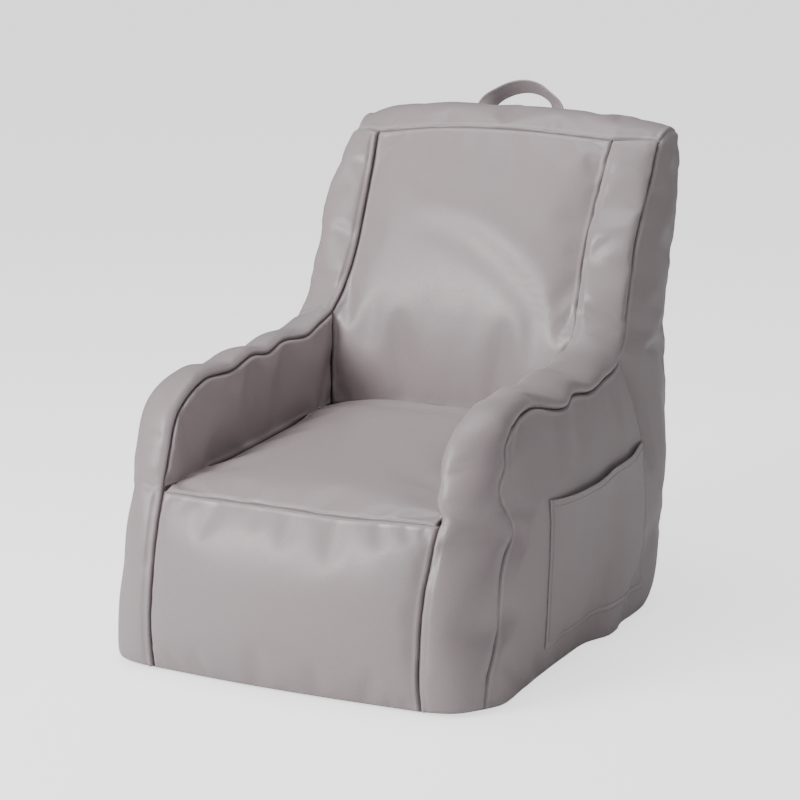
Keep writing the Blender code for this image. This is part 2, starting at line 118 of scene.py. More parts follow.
# folds as (keys, depth, half width, shelf above), in millimetres
CREASES = [
    ([(-100, 205, 560), (-10, 190, 548), (70, 180, 505), (130, 165, 455), (175, 150, 415)], 3.5, 26, 5),
    ([(-150, 245, 640), (-50, 235, 632), (60, 235, 628)], 2.5, 22, 0),
    ([(214, -333, 268), (236, -318, 262), (268, -275, 262)], 6, 13, 0),
    ([(218, -325, 318), (236, -318, 322), (256, -295, 326)], 2.2, 6.5, 1.2),
    ([(222, -318, 336), (240, -308, 334), (258, -285, 342)], 1.6, 5, 0),
    ([(-214, -333, 262), (-236, -318, 256), (-270, -285, 262)], 4, 13, 0),
    ([(-214, -326, 322), (-232, -320, 327), (-252, -300, 322)], 2.2, 6.5, 1.2),
    ([(-216, -322, 338), (-230, -318, 342), (-246, -302, 340)], 1.4, 5, 0),
    ([(196, 190, 528), (222, 205, 552), (256, 225, 562)], 3, 10, 3),
    ([(196, 165, 478), (222, 170, 462), (255, 190, 440)], 2.2, 7, 1.5),
    ([(200, 160, 455), (224, 160, 440), (250, 175, 420)], 1.8, 6, 0),
    ([(198, 250, 642), (225, 262, 650), (256, 275, 632)], 1.8, 9, 1.2),
    ([(-196, 200, 528), (-222, 212, 540), (-254, 225, 532)], 2.8, 10, 2),
    ([(-198, 175, 482), (-224, 190, 470), (-252, 200, 478)], 1.8, 8, 0),
    ([(262, 160, 402), (280, 182, 362), (290, 198, 312), (292, 212, 258), (290, 222, 215)], 12, 12, 0),
    ([(-262, 158, 402), (-280, 185, 355), (-290, 200, 300), (-290, 215, 245)], 11, 13, 0),
    ([(290, 285, 150), (292, 215, 105), (292, 145, 60), (292, 100, 8)], 7, 26, 0),
    ([(-290, 260, 180), (-292, 200, 120), (-292, 150, 50), (-292, 120, 8)], 6, 24, 0),
    ([(-160, 105, 285), (-60, 55, 296), (50, 60, 297), (150, 100, 288)], 3, 22, 0),
    ([(-180, 330, 480), (-50, 345, 440), (80, 345, 455), (200, 330, 420)], 6, 26, 0),
    ([(-200, 345, 260), (-80, 350, 225), (20, 350, 250)], 4, 22, 0),
]
REGIONS = ["front", "seat", "back", "top", "rear_upper", "rear_lower", "base", "zip", "zip_upper",
           "left_band", "right_band", "left_inner", "right_inner", "left_side", "right_side"]
PANELS = {
    "front": "front_panel", "seat": "seat_panel", "back": "inside_back_panel", "top": "top_panel",
    "rear_upper": "rear_panel_upper", "rear_lower": "rear_panel_lower", "base": "base_panel",
    "left_band": "left_arm_band", "right_band": "right_arm_band", "left_inner": "left_inner_arm_panel",
    "right_inner": "right_inner_arm_panel", "left_side": "left_side_panel", "right_side": "right_side_panel",
}
FLAT = ("base", "zip", "zip_upper")
# points along each seam
N_FRONT, N_NOSE, N_ARM, N_BACK, N_BAND, N_SHELF = 34, 18, 60, 41, 13, 18
N_LOW, N_ZIP, N_ACROSS, N_ZIP_END = 16, 5, 55, 4
N_MID = N_FRONT + N_NOSE - N_LOW - N_ZIP + 1
N_REAR = N_ACROSS + 2 * (N_BAND - 1)
FRAMES = 20
ZIP_REACH, ZIP_Z = 0.250, 0.135
MOVE_CAP, HOLLOW, SIDE_REACH = 0.016, 0.016, 0.296
FAR_FROM_SEAM = 0.05
TOPSTITCH = 0.0048
# seams that are rolled rather than pulled in, and how much of the seam depth they keep
SOFT_SEAMS = [("front", "seat"), ("back", "top"), ("left_band", "top"), ("right_band", "top"),
              ("rear_upper", "top"), ("left_side", "top"), ("right_side", "top")]
SOFT_SHARE = 0.35
# seams whose band carries a second row, 9 mm off
DOUBLE_ROWS = [(other, word + "_band") for other in ("front", "back") for word in SIDES]
HANDLE_HALF, HANDLE_RISE, HANDLE_WIDTH, HANDLE_THICK = 0.066, 0.050, 0.028, 0.003
HANDLE_FOOT, HANDLE_LEAN, HANDLE_TWIST, HANDLE_RINGS = (0.0, 0.3715, 0.7105), math.radians(38), 0.43 * math.pi, 72
POCKET_WIDE, POCKET_TALL, POCKET_FOOT, POCKET_ROWS, POCKET_COLUMNS = 0.344, 0.205, 0.045, 66, 96
# the pocket's mouth as (y, z), and its front and rear edges as (share of its height, y)
POCKET_MOUTH = [(-150, 255), (-110, 249.5), (-57, 246.5), (10, 247.5), (71, 254.5), (141, 260), (172, 265),
                (198, 266.5)]
POCKET_FRONT = [(0, -0.156), (0.3, -0.152), (0.6, -0.1465), (0.85, -0.144), (1, -0.148)]
POCKET_REAR = [(0, 0.186), (0.5, 0.193), (1, 0.196)]
LABEL_WIDE, LABEL_TALL, LABEL_CORNER = 0.042, 0.024, (0.170, 0.176)
LINING, TAPE, HIDE, POCKET_SKIN, LABEL_SKIN = 0.0009, 0.0008, 0.0009, 0.0018, 0.0004
CAMERA_AZIMUTH, CAMERA_ELEVATION, CAMERA_DISTANCE = math.radians(27.73), math.radians(12.28), 4.0
CAMERA_TARGET, SENSOR = (0.009, -0.036, 0.343), 36.0


def through(keys, steps=12):
    """Points of a smooth curve through the keys."""
    keys = np.array(keys, float)
    knots = np.vstack([2 * keys[0] - keys[1], keys, 2 * keys[-1] - keys[-2]])
    t = np.linspace(0, 1, steps, endpoint=False)[:, None]
    points = []
    for a, b, c, d in zip(knots, knots[1:], knots[2:], knots[3:]):
        points.append(b + 0.5 * ((c - a) * t + (2 * a - 5 * b + 4 * c - d) * t ** 2
                                 + (3 * b - a - 3 * c + d) * t ** 3))
    return np.vstack(points + [keys[-1:]])


def metres(keys, side=1):
    """Keys in millimetres as points in metres, on one side of the chair."""
    return [np.array((side * x, y, z)) / 1000 for x, y, z in keys]


def shares(line):
    """How far along the line each of its points lies, from 0 to 1."""
    steps = np.linalg.norm(np.diff(line, axis=0), axis=1)
    along = np.concatenate([[0], np.cumsum(steps)])
    return along / along[-1] if along[-1] > 1e-9 else np.linspace(0, 1, len(line))


def sampled(points, count, crowd=0.55):
    """Count points along a polyline, closer together near its ends."""
    steps = np.linalg.norm(np.diff(points, axis=0), axis=1)
    along = np.concatenate([[0], np.cumsum(steps)]) / max(steps.sum(), 1e-9)
    t = np.linspace(0, 1, count)
    t = t - crowd * np.sin(2 * np.pi * t) / (2 * np.pi)
    return np.stack([np.interp(t, along, points[:, k]) for k in range(3)], axis=1)


def joined(*lines):
    """Lines that follow each other, as one, without repeated ends."""
    return np.vstack([lines[0]] + [line[1:] for line in lines[1:]])


def coons(bottom, top, left, right):
    """A grid of points between four edges; bottom and top run from left to right."""
    u = ((shares(bottom) + shares(top)) / 2)[None, :, None]
    v = ((shares(left) + shares(right)) / 2)[:, None, None]
    across = (1 - v) * bottom[None] + v * top[None]
    along = (1 - u) * left[:, None] + u * right[:, None]
    corners = ((1 - u) * (1 - v) * bottom[0] + u * (1 - v) * bottom[-1]
               + (1 - u) * v * top[0] + u * v * top[-1])
    return across + along - corners


def grid_normals(grid):
    normal = np.cross(np.gradient(grid, axis=1), np.gradient(grid, axis=0))
    return normal / np.maximum(np.linalg.norm(normal, axis=2, keepdims=True), 1e-12)


def dome(count, power=0.6):
    t = np.linspace(0, 1, count)
    return np.clip(4 * t * (1 - t), 0, 1) ** power


def grid_cells(rows, columns, start=0):
    """The quads of a grid of points, as indices."""
    index = np.arange(rows * columns).reshape(rows, columns) + start
    return index, np.stack([index[:-1, :-1], index[:-1, 1:], index[1:, 1:], index[1:, :-1]], axis=-1)


# ---------------------------------------------------------------- seams and patches

def split_at(points, y, z):
    """Cut a line at its point nearest to (y, z)."""
    k = int(np.argmin(np.linalg.norm(points[:, 1:] - np.array([y, z]), axis=1)))
    return points[:k + 1], points[k:]


def side_seams(word):
    """The sampled seams of one side, each with a fixed number of points."""
    side = SIDES[word]

    def seam(keys):
        return through(metres(keys, side))

    arm_low, arm_top = split_at(seam(SEAM_ARM[word]), -0.287, 0.352)
    outer = seam(SEAM_OUTER_ARM[word])
    outer_front, outer_rest = split_at(outer, -0.256, 0.262)
    outer_low, outer_top = split_at(outer_rest, -0.238, 0.352)
    front, back, outer_back = seam(SEAM_FRONT[word]), seam(SEAM_BACK[word]), seam(SEAM_OUTER_BACK[word])
    high = seam(REAR_HIGH[word])
    mid_foot, shelf_front, shelf_rear = metres([(256, -352, 4), (275, 215, 402), (279, 270, 404)], side)
    top_mid = (back[-1] + outer_back[-1]) / 2 + np.array([0, 0.002, 0.001])
    brim_mid = (outer_back[-1] + high[-1]) / 2 + np.array([0.002 * side, 0.002, 0.010])
    lines = {
        "front": (front, N_FRONT), "arm_low": (arm_low, N_NOSE), "arm_top": (arm_top, N_ARM),
        "back": (back, N_BACK), "outer_front": (outer_front, N_FRONT), "outer_low": (outer_low, N_NOSE),
        "outer_top": (outer_top, N_ARM), "outer_back": (outer_back, N_BACK),
        "seat": (seam([SEAM_ARM[word][0], *SEAT_SIDE, SEAT_REAR]), N_ARM),
        "corner": (seam([SEAT_REAR, *BACK_SIDE, SEAM_ARM[word][-1]]), N_NOSE),
        "toe": (through([front[0], mid_foot, outer[0]]), N_BAND),
        "shoulder": (through([back[-1], top_mid, outer_back[-1]]), N_BAND),
        "foot": (through([outer[0], *metres(FOOT[word] + REAR_LOW[:1], side)]), N_ARM + N_SHELF - 1),
        "brim": (through([outer_back[-1], brim_mid, high[-1]]), N_SHELF),
        "shelf": (through([outer_back[0], shelf_front, shelf_rear, high[0]]), N_SHELF),
        "rear_low": (seam(REAR_LOW), N_LOW), "rear_zip": (seam(REAR_ZIP), N_ZIP),
        "rear_mid": (seam(REAR_MID), N_MID), "rear_high": (high, N_BACK),
    }
    return {name: sampled(*line) for name, line in lines.items()}


def across(ends, mids):
    """A line from the right-hand end to the left-hand one, through the mid keys."""
    return sampled(through([ends[1], *metres(mids), ends[0]]), N_ACROSS)


def rear_line(ends, mids):
    """A line over the rear, with columns set at the two ends of the zip."""
    left, right = ends
    line = through([right, *metres(mids), left])
    order = np.argsort(line[:, 0])
    x = np.concatenate([np.linspace(right[0], -ZIP_REACH, N_ZIP_END + 1)[:-1],
                        np.linspace(-ZIP_REACH, ZIP_REACH, N_REAR - 2 * N_ZIP_END),
                        np.linspace(ZIP_REACH, left[0], N_ZIP_END + 1)[1:]])
    made = np.stack([x] + [np.interp(x, line[order, 0], line[order, k]) for k in (1, 2)], axis=1)
    made[0], made[-1] = right, left
    return made


def cover_patches():
    """Every patch as (region, grid, outward, crown), with edges that neighbours share exactly."""
    sides = {word: side_seams(word) for word in SIDES}
    left, right = sides.values()

    def ends(name, k):
        return left[name][k], right[name][k]

    def edges(*names):
        return [joined(*(side[name] for name in names)) for side in (right, left)]

    def whole(name, between):
        return joined(right[name][::-1], between, left[name])

    front_foot = across(ends("front", 0), [(-70, -372, 4), (70, -372, 4)])
    seat_front = across(ends("front", -1), [(-130, -334, 249), (-30, -340, 251), (80, -338, 248.5),
                                            (160, -333, 251)])
    seat_rear = across(ends("seat", -1), [(-90, 139, 292), (90, 139, 292)])
    back_top = across(ends("back", -1), [(-80, 284, 697), (60, 284, 699)])
    rear_top = rear_line(ends("rear_high", -1), [(-200, 368, 709), (-120, 373, 716), (0, 374, 713),
                                                 (120, 373, 713), (200, 370, 712)])
    zip_top = rear_line(ends("rear_mid", 0), [(0, 307, 145.5)])
    zip_low = rear_line(ends("rear_low", -1), [(0, 302, 124.5)])
    rear_foot = rear_line(ends("foot", -1), [(-100, 270, 4), (100, 270, 4)])
    patches = [
        ("front", coons(front_foot, seat_front, *edges("front")), (0, -1, 0), 0.012),
        ("seat", coons(seat_front, seat_rear, *edges("seat")), (0, 0, 1), 0.022),
        ("back", coons(seat_rear, back_top, *edges("corner", "back")), (0, -1, 0), 0.014),
        ("top", coons(whole("shoulder", back_top), rear_top, *edges("brim")), (0, 0, 1), 0.011),
        ("rear_upper", coons(zip_top, rear_top, *edges("rear_mid", "rear_high")), (0, 1, 0), 0.016),
        ("zip", coons(zip_low, zip_top, *edges("rear_zip")), (0, 1, 0), 0.0),
        ("rear_lower", coons(rear_foot, zip_low, *edges("rear_low")), (0, 1, 0), 0.003),
        ("base", coons(whole("toe", front_foot), rear_foot, *edges("foot")), (0, 0, -1), 0.0032),
    ]
    for word, s in sides.items():
        out = SIDES[word]
        nose = joined(s["outer_front"], s["outer_low"])
        patches += [
            (word + "_band", coons(s["toe"], s["shoulder"],
                                   joined(s["front"], s["arm_low"], s["arm_top"], s["back"]),
                                   joined(nose, s["outer_top"], s["outer_back"])), (0, -1, 1), 0.018),
            (word + "_inner", coons(s["seat"], s["arm_top"], s["arm_low"], s["corner"]), (-out, 0, 0), 0.007),
            (word + "_side", coons(s["foot"], joined(s["outer_top"], s["shelf"]), nose,
                                   joined(s["rear_low"], s["rear_zip"], s["rear_mid"])), (out, 0, 0), 0.002),
            (word + "_side", coons(s["shelf"], s["brim"], s["outer_back"], s["rear_high"]), (out, 0, 0), 0.005),
        ]
    return patches


def cover_mesh():
    """The whole cover as points, quads and the region of each quad, all facing outward."""
    points, quads, regions, start = [], [], [], 0
    for region, grid, towards, crown in cover_patches():
        normal = grid_normals(grid)
        outward = 1 if (normal.mean(axis=(0, 1)) @ np.array(towards)) > 0 else -1
        lift = dome(grid.shape[0], 0.25 if region.endswith("band") else 0.6)[:, None] * dome(grid.shape[1])[None, :]
        grid = grid + normal * (outward * crown * lift)[:, :, None]
        if region == "back":
            bulge = dome(grid.shape[1], 0.5)[None, :]
            hollow = np.exp(-((grid[:, :, 2] - 0.415) / 0.085) ** 2) * bulge
            for _ in range(90):
                grid[1:-1] += 0.5 * bulge[:, :, None] * ((grid[:-2] + grid[2:]) / 2 - grid[1:-1])
            grid[:, :, 1] += HOLLOW * hollow * dome(grid.shape[0], 0.3)[:, None]
        cells = grid_cells(*grid.shape[:2], start)[1]
        names = np.full(cells.shape[:2], REGIONS.index(region))
        if region == "zip":
            names[:, :N_ZIP_END] = names[:, -N_ZIP_END:] = REGIONS.index("rear_lower")
            names[names.shape[0] // 2:, N_ZIP_END:-N_ZIP_END] = REGIONS.index("zip_upper")
        points.append(grid.reshape(-1, 3))
        quads.append((cells if outward > 0 else cells[:, :, ::-1]).reshape(-1, 4))
        regions.append(names.ravel())
        start += len(points[-1])
    points, quads, regions = np.vstack(points), np.vstack(quads), np.concatenate(regions)
    _, first, where = np.unique(np.round(points * 2e5).astype(np.int64), axis=0,
                                return_index=True, return_inverse=True)
    return points[first], where.ravel()[quads], regions


def touched(quads, regions, names):
    """The points that the quads of some regions use."""
    return np.unique(quads[np.isin(regions, [REGIONS.index(name) for name in names])])


def mesh_from(name, points, faces, regions=None):
    mesh = bpy.data.meshes.new(name)
    mesh.from_pydata(np.asarray(points).tolist(), [], [list(map(int, face)) for face in faces])
    if regions is not None:
        mesh.polygons.foreach_set("material_index", np.asarray(regions, np.int32))
    mesh.update()
    return mesh


def closed_mesh(name, points, faces):
    """A mesh whose faces are all turned outward."""
    mesh = mesh_from(name, points, faces)
    bm = bmesh.new()
    bm.from_mesh(mesh)
    bmesh.ops.recalc_face_normals(bm, faces=bm.faces)
    bm.to_mesh(mesh)
    bm.free()
    return mesh


def add_piece(name, mesh, finish=None, smooth=True):
    piece = bpy.data.objects.new(name, mesh)
    bpy.context.scene.collection.objects.link(piece)
    if finish is not None:
        mesh.materials.clear()
        mesh.materials.append(finish)
    if smooth:
        mesh.polygons.foreach_set("use_smooth", np.ones(len(mesh.polygons), bool))
    mesh.update()
    return piece


def add_wall(piece, thickness):
    """Give a surface its thickness, inward."""
    wall = piece.modifiers.new("wall", "SOLIDIFY")
    wall.thickness, wall.offset = thickness, -1


def seam_gap(mesh, distance):
    """Store each point's distance from a seam, which the leather's finish reads to paint shade in the seam's groove
    and a highlight on its roll.
    """
    gap = mesh.attributes.new("seam_distance", "FLOAT", "POINT")
    gap.data.foreach_set("value", np.minimum(distance, FAR_FROM_SEAM).astype(np.float32))


def coordinates(mesh):
    co = np.empty(len(mesh.vertices) * 3, np.float32)
    mesh.vertices.foreach_get("co", co)
    return co.reshape(-1, 3).astype(float)


def evaluated_mesh(piece):
    graph = bpy.context.evaluated_depsgraph_get()
    return bpy.data.meshes.new_from_object(piece.evaluated_get(graph))


def taken(piece):
    """The evaluated shape of a helper object, as points, quads and material indices; the object goes."""
    mesh = evaluated_mesh(piece)
    faces, regions = np.empty(len(mesh.loops), np.int32), np.empty(len(mesh.polygons), np.int32)
    mesh.loops.foreach_get("vertex_index", faces)
    mesh.polygons.foreach_get("material_index", regions)
    bpy.data.objects.remove(piece)
    return coordinates(mesh), faces.reshape(-1, 4), regions


def vertex_normals(points, quads):
    diagonal = np.cross(points[quads[:, 2]] - points[quads[:, 0]], points[quads[:, 3]] - points[quads[:, 1]])
    normals = np.zeros_like(points)
    for k in range(4):
        np.add.at(normals, quads[:, k], diagonal)
    return normals / np.maximum(np.linalg.norm(normals, axis=1, keepdims=True), 1e-12)


def edges_of(quads):
    edges = np.concatenate([np.stack([quads[:, k], quads[:, (k + 1) % 4]], axis=1) for k in range(4)])
    return np.sort(edges, axis=1)


def region_borders(quads, regions):
    """Edges whose two quads belong to different regions, and those two regions."""
    edges, owner = edges_of(quads), np.tile(regions, 4)
    order = np.lexsort((edges[:, 1], edges[:, 0]))
    edges, owner = edges[order], owner[order]
    same = (edges[1:] == edges[:-1]).all(axis=1) & (owner[1:] != owner[:-1])
    return edges[1:][same], np.sort(np.stack([owner[1:], owner[:-1]], axis=1)[same], axis=1)


def between(borders, pairs, first, second):
    """The border edges between two regions."""
    return borders[(pairs == sorted((REGIONS.index(first), REGIONS.index(second)))).all(axis=1)]


# ---------------------------------------------------------------- filling out the cover

def relax(points, quads, free, rounds):
    """Even out the free points between their neighbours."""
    edges = np.unique(edges_of(quads), axis=0)
    count = np.bincount(edges.ravel(), minlength=len(points))[:, None]
    for _ in range(rounds):
        total = np.zeros_like(points)
        np.add.at(total, edges[:, 0], points[edges[:, 1]])
        np.add.at(total, edges[:, 1], points[edges[:, 0]])
        points = np.where(free[:, None], 0.5 * points + 0.5 * total / np.maximum(count, 1), points)
    return points


def inflate(points, quads, pinned, pressure, growth):
    """Cloth blown out by the beads behind it, held at its seams."""
    piece = add_piece("cover_cloth", mesh_from("cover_cloth", points, quads))
    group = piece.vertex_groups.new(name="seams")
    group.add([int(i) for i in np.nonzero(pinned)[0]], 1.0, "REPLACE")
    cloth = piece.modifiers.new("cloth", "CLOTH")
    for name, value in (("quality", 6), ("mass", 0.35), ("tension_stiffness", 18), ("compression_stiffness", 18),
                        ("shear_stiffness", 6), ("bending_stiffness", 12), ("use_pressure", True),
                        ("uniform_pressure_force", pressure), ("shrink_min", -growth),
                        ("vertex_group_mass", "seams")):
        setattr(cloth.settings, name, value)
    cloth.settings.effector_weights.gravity = 0
    cloth.collision_settings.use_collision = False
    scene = bpy.context.scene
    for number in range(1, FRAMES + 1):
        scene.frame_set(number)
    shift = coordinates(evaluated_mesh(piece)) - points
    scene.frame_set(1)
    bpy.data.objects.remove(piece)
    size = np.linalg.norm(shift, axis=1, keepdims=True)
    return points + shift * (MOVE_CAP * np.tanh(size / MOVE_CAP) / np.maximum(size, 1e-9))


def subdivided(points, quads, regions):
    mesh = mesh_from("cover_fine", points, quads)
    for _ in REGIONS:
        mesh.materials.append(None)
    mesh.polygons.foreach_set("material_index", np.asarray(regions, np.int32))
    piece = add_piece("cover_fine", mesh)
    subsurf = piece.modifiers.new("subdivide", "SUBSURF")
    subsurf.levels = subsurf.render_levels = 1
    return taken(piece)


def nearest(points, targets, reach):
    """Distance from each point to the nearest target within reach, and which one it is."""
    tree = KDTree(len(targets))
    for k, target in enumerate(targets):
        tree.insert(target, k)
    tree.balance()
    distance, which = np.full(len(points), 1.0), np.zeros(len(points), int)
    low, high = targets.min(axis=0) - reach, targets.max(axis=0) + reach
    for i in np.nonzero(((points > low) & (points < high)).all(axis=1))[0]:
        _, which[i], distance[i] = tree.find(points[i])
    return distance, which


def crease(points, normals, keys, depth, width, shelf=0.0):
    """Push a smooth valley along the keys, deepest half way; shelf lifts the skin above it."""
    depth, width, shelf = depth / 1000, width / 1000, shelf / 1000
    line = through(metres(keys), 24)
    reach = 2 * width + 0.030
    low, high = line.min(axis=0) - reach, line.max(axis=0) + reach
    inside = np.nonzero(((points > low) & (points < high)).all(axis=1))[0]
    gap = points[inside][:, None, :] - line[None, :, :]
    off = np.einsum("pli,pi->pl", gap, normals[inside])
    distance = np.sqrt(np.maximum((gap ** 2).sum(axis=2) - off ** 2, 0)) + 10 * (np.abs(off) > 0.030)
    k = distance.argmin(axis=1)
    row = np.arange(len(inside))
    near = distance[row, k]
    ends = np.sin(np.pi * np.clip((k + 0.5) / len(line), 0, 1)) ** 0.7
    push = -depth * np.exp(-(near / width) ** 2) * ends
    if shelf:
        above = gap[row, k][:, 2]
        push += shelf * np.exp(-((above - 1.4 * width) / width) ** 2) * np.exp(-(near / (2.2 * width)) ** 2) * ends
    points[inside] += normals[inside] * push[:, None]


def pucker(distance, which, seams, amplitude):
    """Short gathers that run off every seam and fade out in the panel."""
    waves = np.array([noise.noise(Vector(p) * 38.0) + 0.6 * noise.noise(Vector(p) * 85.0) for p in seams])
    size = amplitude * waves[which] * np.exp(-(distance / 0.020) ** 2) * (1 - np.exp(-(distance / 0.004) ** 2))
    return np.where(distance < 0.06, size, 0.0)


def build_cover(settings):
    """Points, quads, region of each quad, and each point's distance from a seam."""
    points, quads, regions = cover_mesh()
    pinned = np.zeros(len(points), bool)
    pinned[region_borders(quads, regions)[0].ravel()] = True
    pinned[touched(quads, regions, FLAT)] = True
    sides = np.zeros(len(points), bool)
    sides[touched(quads, regions, ["left_side", "right_side"])] = True
    points = relax(points, quads, sides & ~pinned & (points[:, 2] > 0.24), 40)
    points = inflate(points, quads, pinned, settings.pressure, settings.growth)
    points, quads, regions = subdivided(points, quads, regions)
    borders, pairs = region_borders(quads, regions)
    sewn = ~np.isin(pairs, [REGIONS.index(name) for name in FLAT]).any(axis=1)
    seam_points = np.unique(borders[sewn])
    normals = vertex_normals(points, quads)
    distance, which = nearest(points, points[seam_points], FAR_FROM_SEAM)
    depth = np.full(len(points), SOFT_SHARE)
    soft = [sorted((REGIONS.index(a), REGIONS.index(b))) for a, b in SOFT_SEAMS]
    depth[borders[[list(pair) not in soft for pair in pairs]].ravel()] = 1.0
    share = depth[seam_points][which]
    lift = pucker(distance, which, points[seam_points], 0.0013)
    lift -= settings.seam_depth * share * np.exp(-(distance / 0.0022) ** 2)
    lift += 0.0008 * np.exp(-((distance - 0.0050) / 0.0026) ** 2)
    dip = (0.0022 * np.exp(-((distance - 0.0095) / 0.0020) ** 2)
           - 0.0009 * np.exp(-((distance - 0.0062) / 0.002) ** 2))
    for other, band in DOUBLE_ROWS:
        row, on_band = np.zeros(len(points), bool), np.zeros(len(points), bool)
        row[between(borders, pairs, other, band).ravel()] = True
        on_band[touched(quads, regions, [band])] = True
        lift = lift - np.where(row[seam_points][which] & on_band, dip, 0.0)
    lift[touched(quads, regions, FLAT)] = 0.0
    points = points + normals * lift[:, None]
    for fold in CREASES:
        crease(points, normals, *fold)
    points[:, 2] = np.maximum(points[:, 2], 0.0006)
    proud = np.maximum(np.abs(points[:, 0]) - SIDE_REACH, 0)
    points[:, 0] -= np.sign(points[:, 0]) * proud * 0.75
    # soft seams keep a distance of at least 2.6 mm, so less painted shade falls in their grooves
    return points, quads, regions, np.where(share < 1, np.maximum(distance, 0.0026), distance)


# ---------------------------------------------------------------- finishes

def put(tree, node, values):
    """Set a node's inputs, given as plain values or as sockets to link."""
    for name, value in (values or {}).items():
        if isinstance(value, bpy.types.NodeSocket):
            tree.links.new(value, node.inputs[name])
        else:
            node.inputs[name].default_value = value
    return node


def add_node(tree, kind, inputs=None, **settings):
    node = tree.nodes.new(kind)
    for name, value in settings.items():
        setattr(node, name, value)
    return put(tree, node, inputs)


def new_group(name, kind, inputs, outputs):
    """An empty node group with named sockets, given as (name, type, default)."""
    tree = bpy.data.node_groups.new(name, kind)
    for direction, sockets in (("INPUT", inputs), ("OUTPUT", outputs)):
        for label, socket_type, default in sockets:
            made = tree.interface.new_socket(label, in_out=direction, socket_type="NodeSocket" + socket_type)
            if default is not None:
                made.default_value = default
    return tree, tree.nodes.new("NodeGroupInput").outputs, tree.nodes.new("NodeGroupOutput")


def math_node(tree, operation, a, b=0.0):
    return add_node(tree, "ShaderNodeMath", {0: a, 1: b}, operation=operation).outputs[0]


def vector_node(tree, operation, a, b):
    return add_node(tree, "ShaderNodeVectorMath", {0: a, 1: b}, operation=operation).outputs[0]


def mixed(tree, factor, a, b):
    return add_node(tree, "ShaderNodeMix", {0: factor, 6: a, 7: b}, data_type="RGBA").outputs[2]


def ranged(tree, value, low, high, to_low, to_high):
    return add_node(tree, "ShaderNodeMapRange", {
        "Value": value, "From Min": low, "From Max": high, "To Min": to_low, "To Max": to_high}).outputs[0]


def place_of(tree):
    return add_node(tree, "ShaderNodeTexCoord").outputs["Object"]


def grain_group():
    """Fine pebbled leather grain with soft creasing between the pebbles."""
    tree, given, out = new_group("leather_grain", "ShaderNodeTree",
                                 [("Scale", "Float", 620.0), ("Creasing", "Float", 0.35)],
                                 [("Height", "Float", None), ("Pores", "Float", None)])
    place = place_of(tree)
    warp = add_node(tree, "ShaderNodeTexNoise", {"Vector": place, "Scale": 160.0, "Detail": 2.0})
    bent = vector_node(tree, "MULTIPLY", warp.outputs["Color"], (0.0022, 0.0022, 0.0022))
    pebbles = add_node(tree, "ShaderNodeTexVoronoi", {
        "Vector": vector_node(tree, "ADD", place, bent), "Scale": given["Scale"]}, feature="SMOOTH_F1")
    pebbles.inputs["Smoothness"].default_value = 0.6
    wrinkle = add_node(tree, "ShaderNodeTexNoise", {"Vector": place, "Scale": 95.0, "Detail": 3.0,
                                                    "Roughness": 0.55})
    creasing = math_node(tree, "MULTIPLY", wrinkle.outputs["Fac"], given["Creasing"])
    put(tree, out, {"Height": math_node(tree, "SUBTRACT", creasing, pebbles.outputs["Distance"]),
                    "Pores": ranged(tree, pebbles.outputs["Distance"], 0.35, 0.75, 0.0, 1.0)})


def mottle_group():
    """Slow cloudy change of colour over a finish."""
    tree, given, out = new_group("mottling", "ShaderNodeTree",
                                 [("Scale", "Float", 5.0), ("Colour", "Color", (0.4, 0.36, 0.37, 1)),
                                  ("Second", "Color", (0.42, 0.36, 0.38, 1))],
                                 [("Colour", "Color", None), ("Clouds", "Float", None)])
    clouds = add_node(tree, "ShaderNodeTexNoise", {"Vector": place_of(tree), "Scale": given["Scale"], "Detail": 3.0})
    spread = ranged(tree, clouds.outputs["Fac"], 0.36, 0.64, 0.0, 1.0)
    put(tree, out, {"Colour": mixed(tree, spread, given["Colour"], given["Second"]), "Clouds": spread})


def painted_seam_light_group():
    """Painted shade along the bottom of a seam's groove, and a painted highlight where the leather rolls over it."""
    tree, given, out = new_group("painted_seam_light", "ShaderNodeTree",
                                 [("Distance", "Float", 0.05), ("Colour", "Color", None),
                                  ("Seam Shade", "Float", 0.30), ("Roll Highlight", "Float", 0.16)],
                                 [("Colour", "Color", None), ("Roll", "Float", None)])
    distance = given["Distance"]
    # painted shade: the colour darkens towards the bottom of the seam's groove, where shade falls
    dark = math_node(tree, "MULTIPLY", ranged(tree, distance, 0.0006, 0.0032, 1.0, 0.0), given["Seam Shade"])
    roll = math_node(tree, "MULTIPLY", ranged(tree, distance, 0.0030, 0.0050, 0.0, 1.0),
                     ranged(tree, distance, 0.0055, 0.0100, 1.0, 0.0))
    # painted highlight: a paler band where the leather rolls over the seam
    painted_highlight = math_node(tree, "MULTIPLY", roll, given["Roll Highlight"])
    colour = mixed(tree, painted_highlight, given["Colour"], (0.80, 0.75, 0.76, 1))
    # the painted seam shade's near-black colour is mixed in over the highlight
    put(tree, out, {"Colour": mixed(tree, dark, colour, (0.055, 0.048, 0.050, 1)), "Roll": roll})


def weave_group():
    """Over-and-under threads on two axes of the piece's own coordinates."""
    tree, given, out = new_group("weave", "ShaderNodeTree",
                                 [("Across", "Float", 1400.0), ("Up", "Float", 1400.0)],
                                 [("Height", "Float", None), ("Threads", "Float", None)])
    axes = add_node(tree, "ShaderNodeSeparateXYZ", {0: place_of(tree)})
    waves = []
    for axis, label in (("X", "Across"), ("Z", "Up")):
        turned = math_node(tree, "MULTIPLY", axes.outputs[axis], given[label])
        waves.append(math_node(tree, "SINE", math_node(tree, "MULTIPLY", turned, 2 * math.pi)))
    height = math_node(tree, "MULTIPLY", *waves)
    put(tree, out, {"Height": ranged(tree, height, -1.0, 1.0, 0.0, 1.0),
                    "Threads": math_node(tree, "ABSOLUTE", height)})


def placed(tree, name, inputs):
    """One of the groups above, placed in a material with its own values."""
    node = add_node(tree, "ShaderNodeGroup", node_tree=bpy.data.node_groups[name])
    return put(tree, node, inputs).outputs


def shade(colour, factor=1.0):
    return (*(factor * c for c in colour), 1)


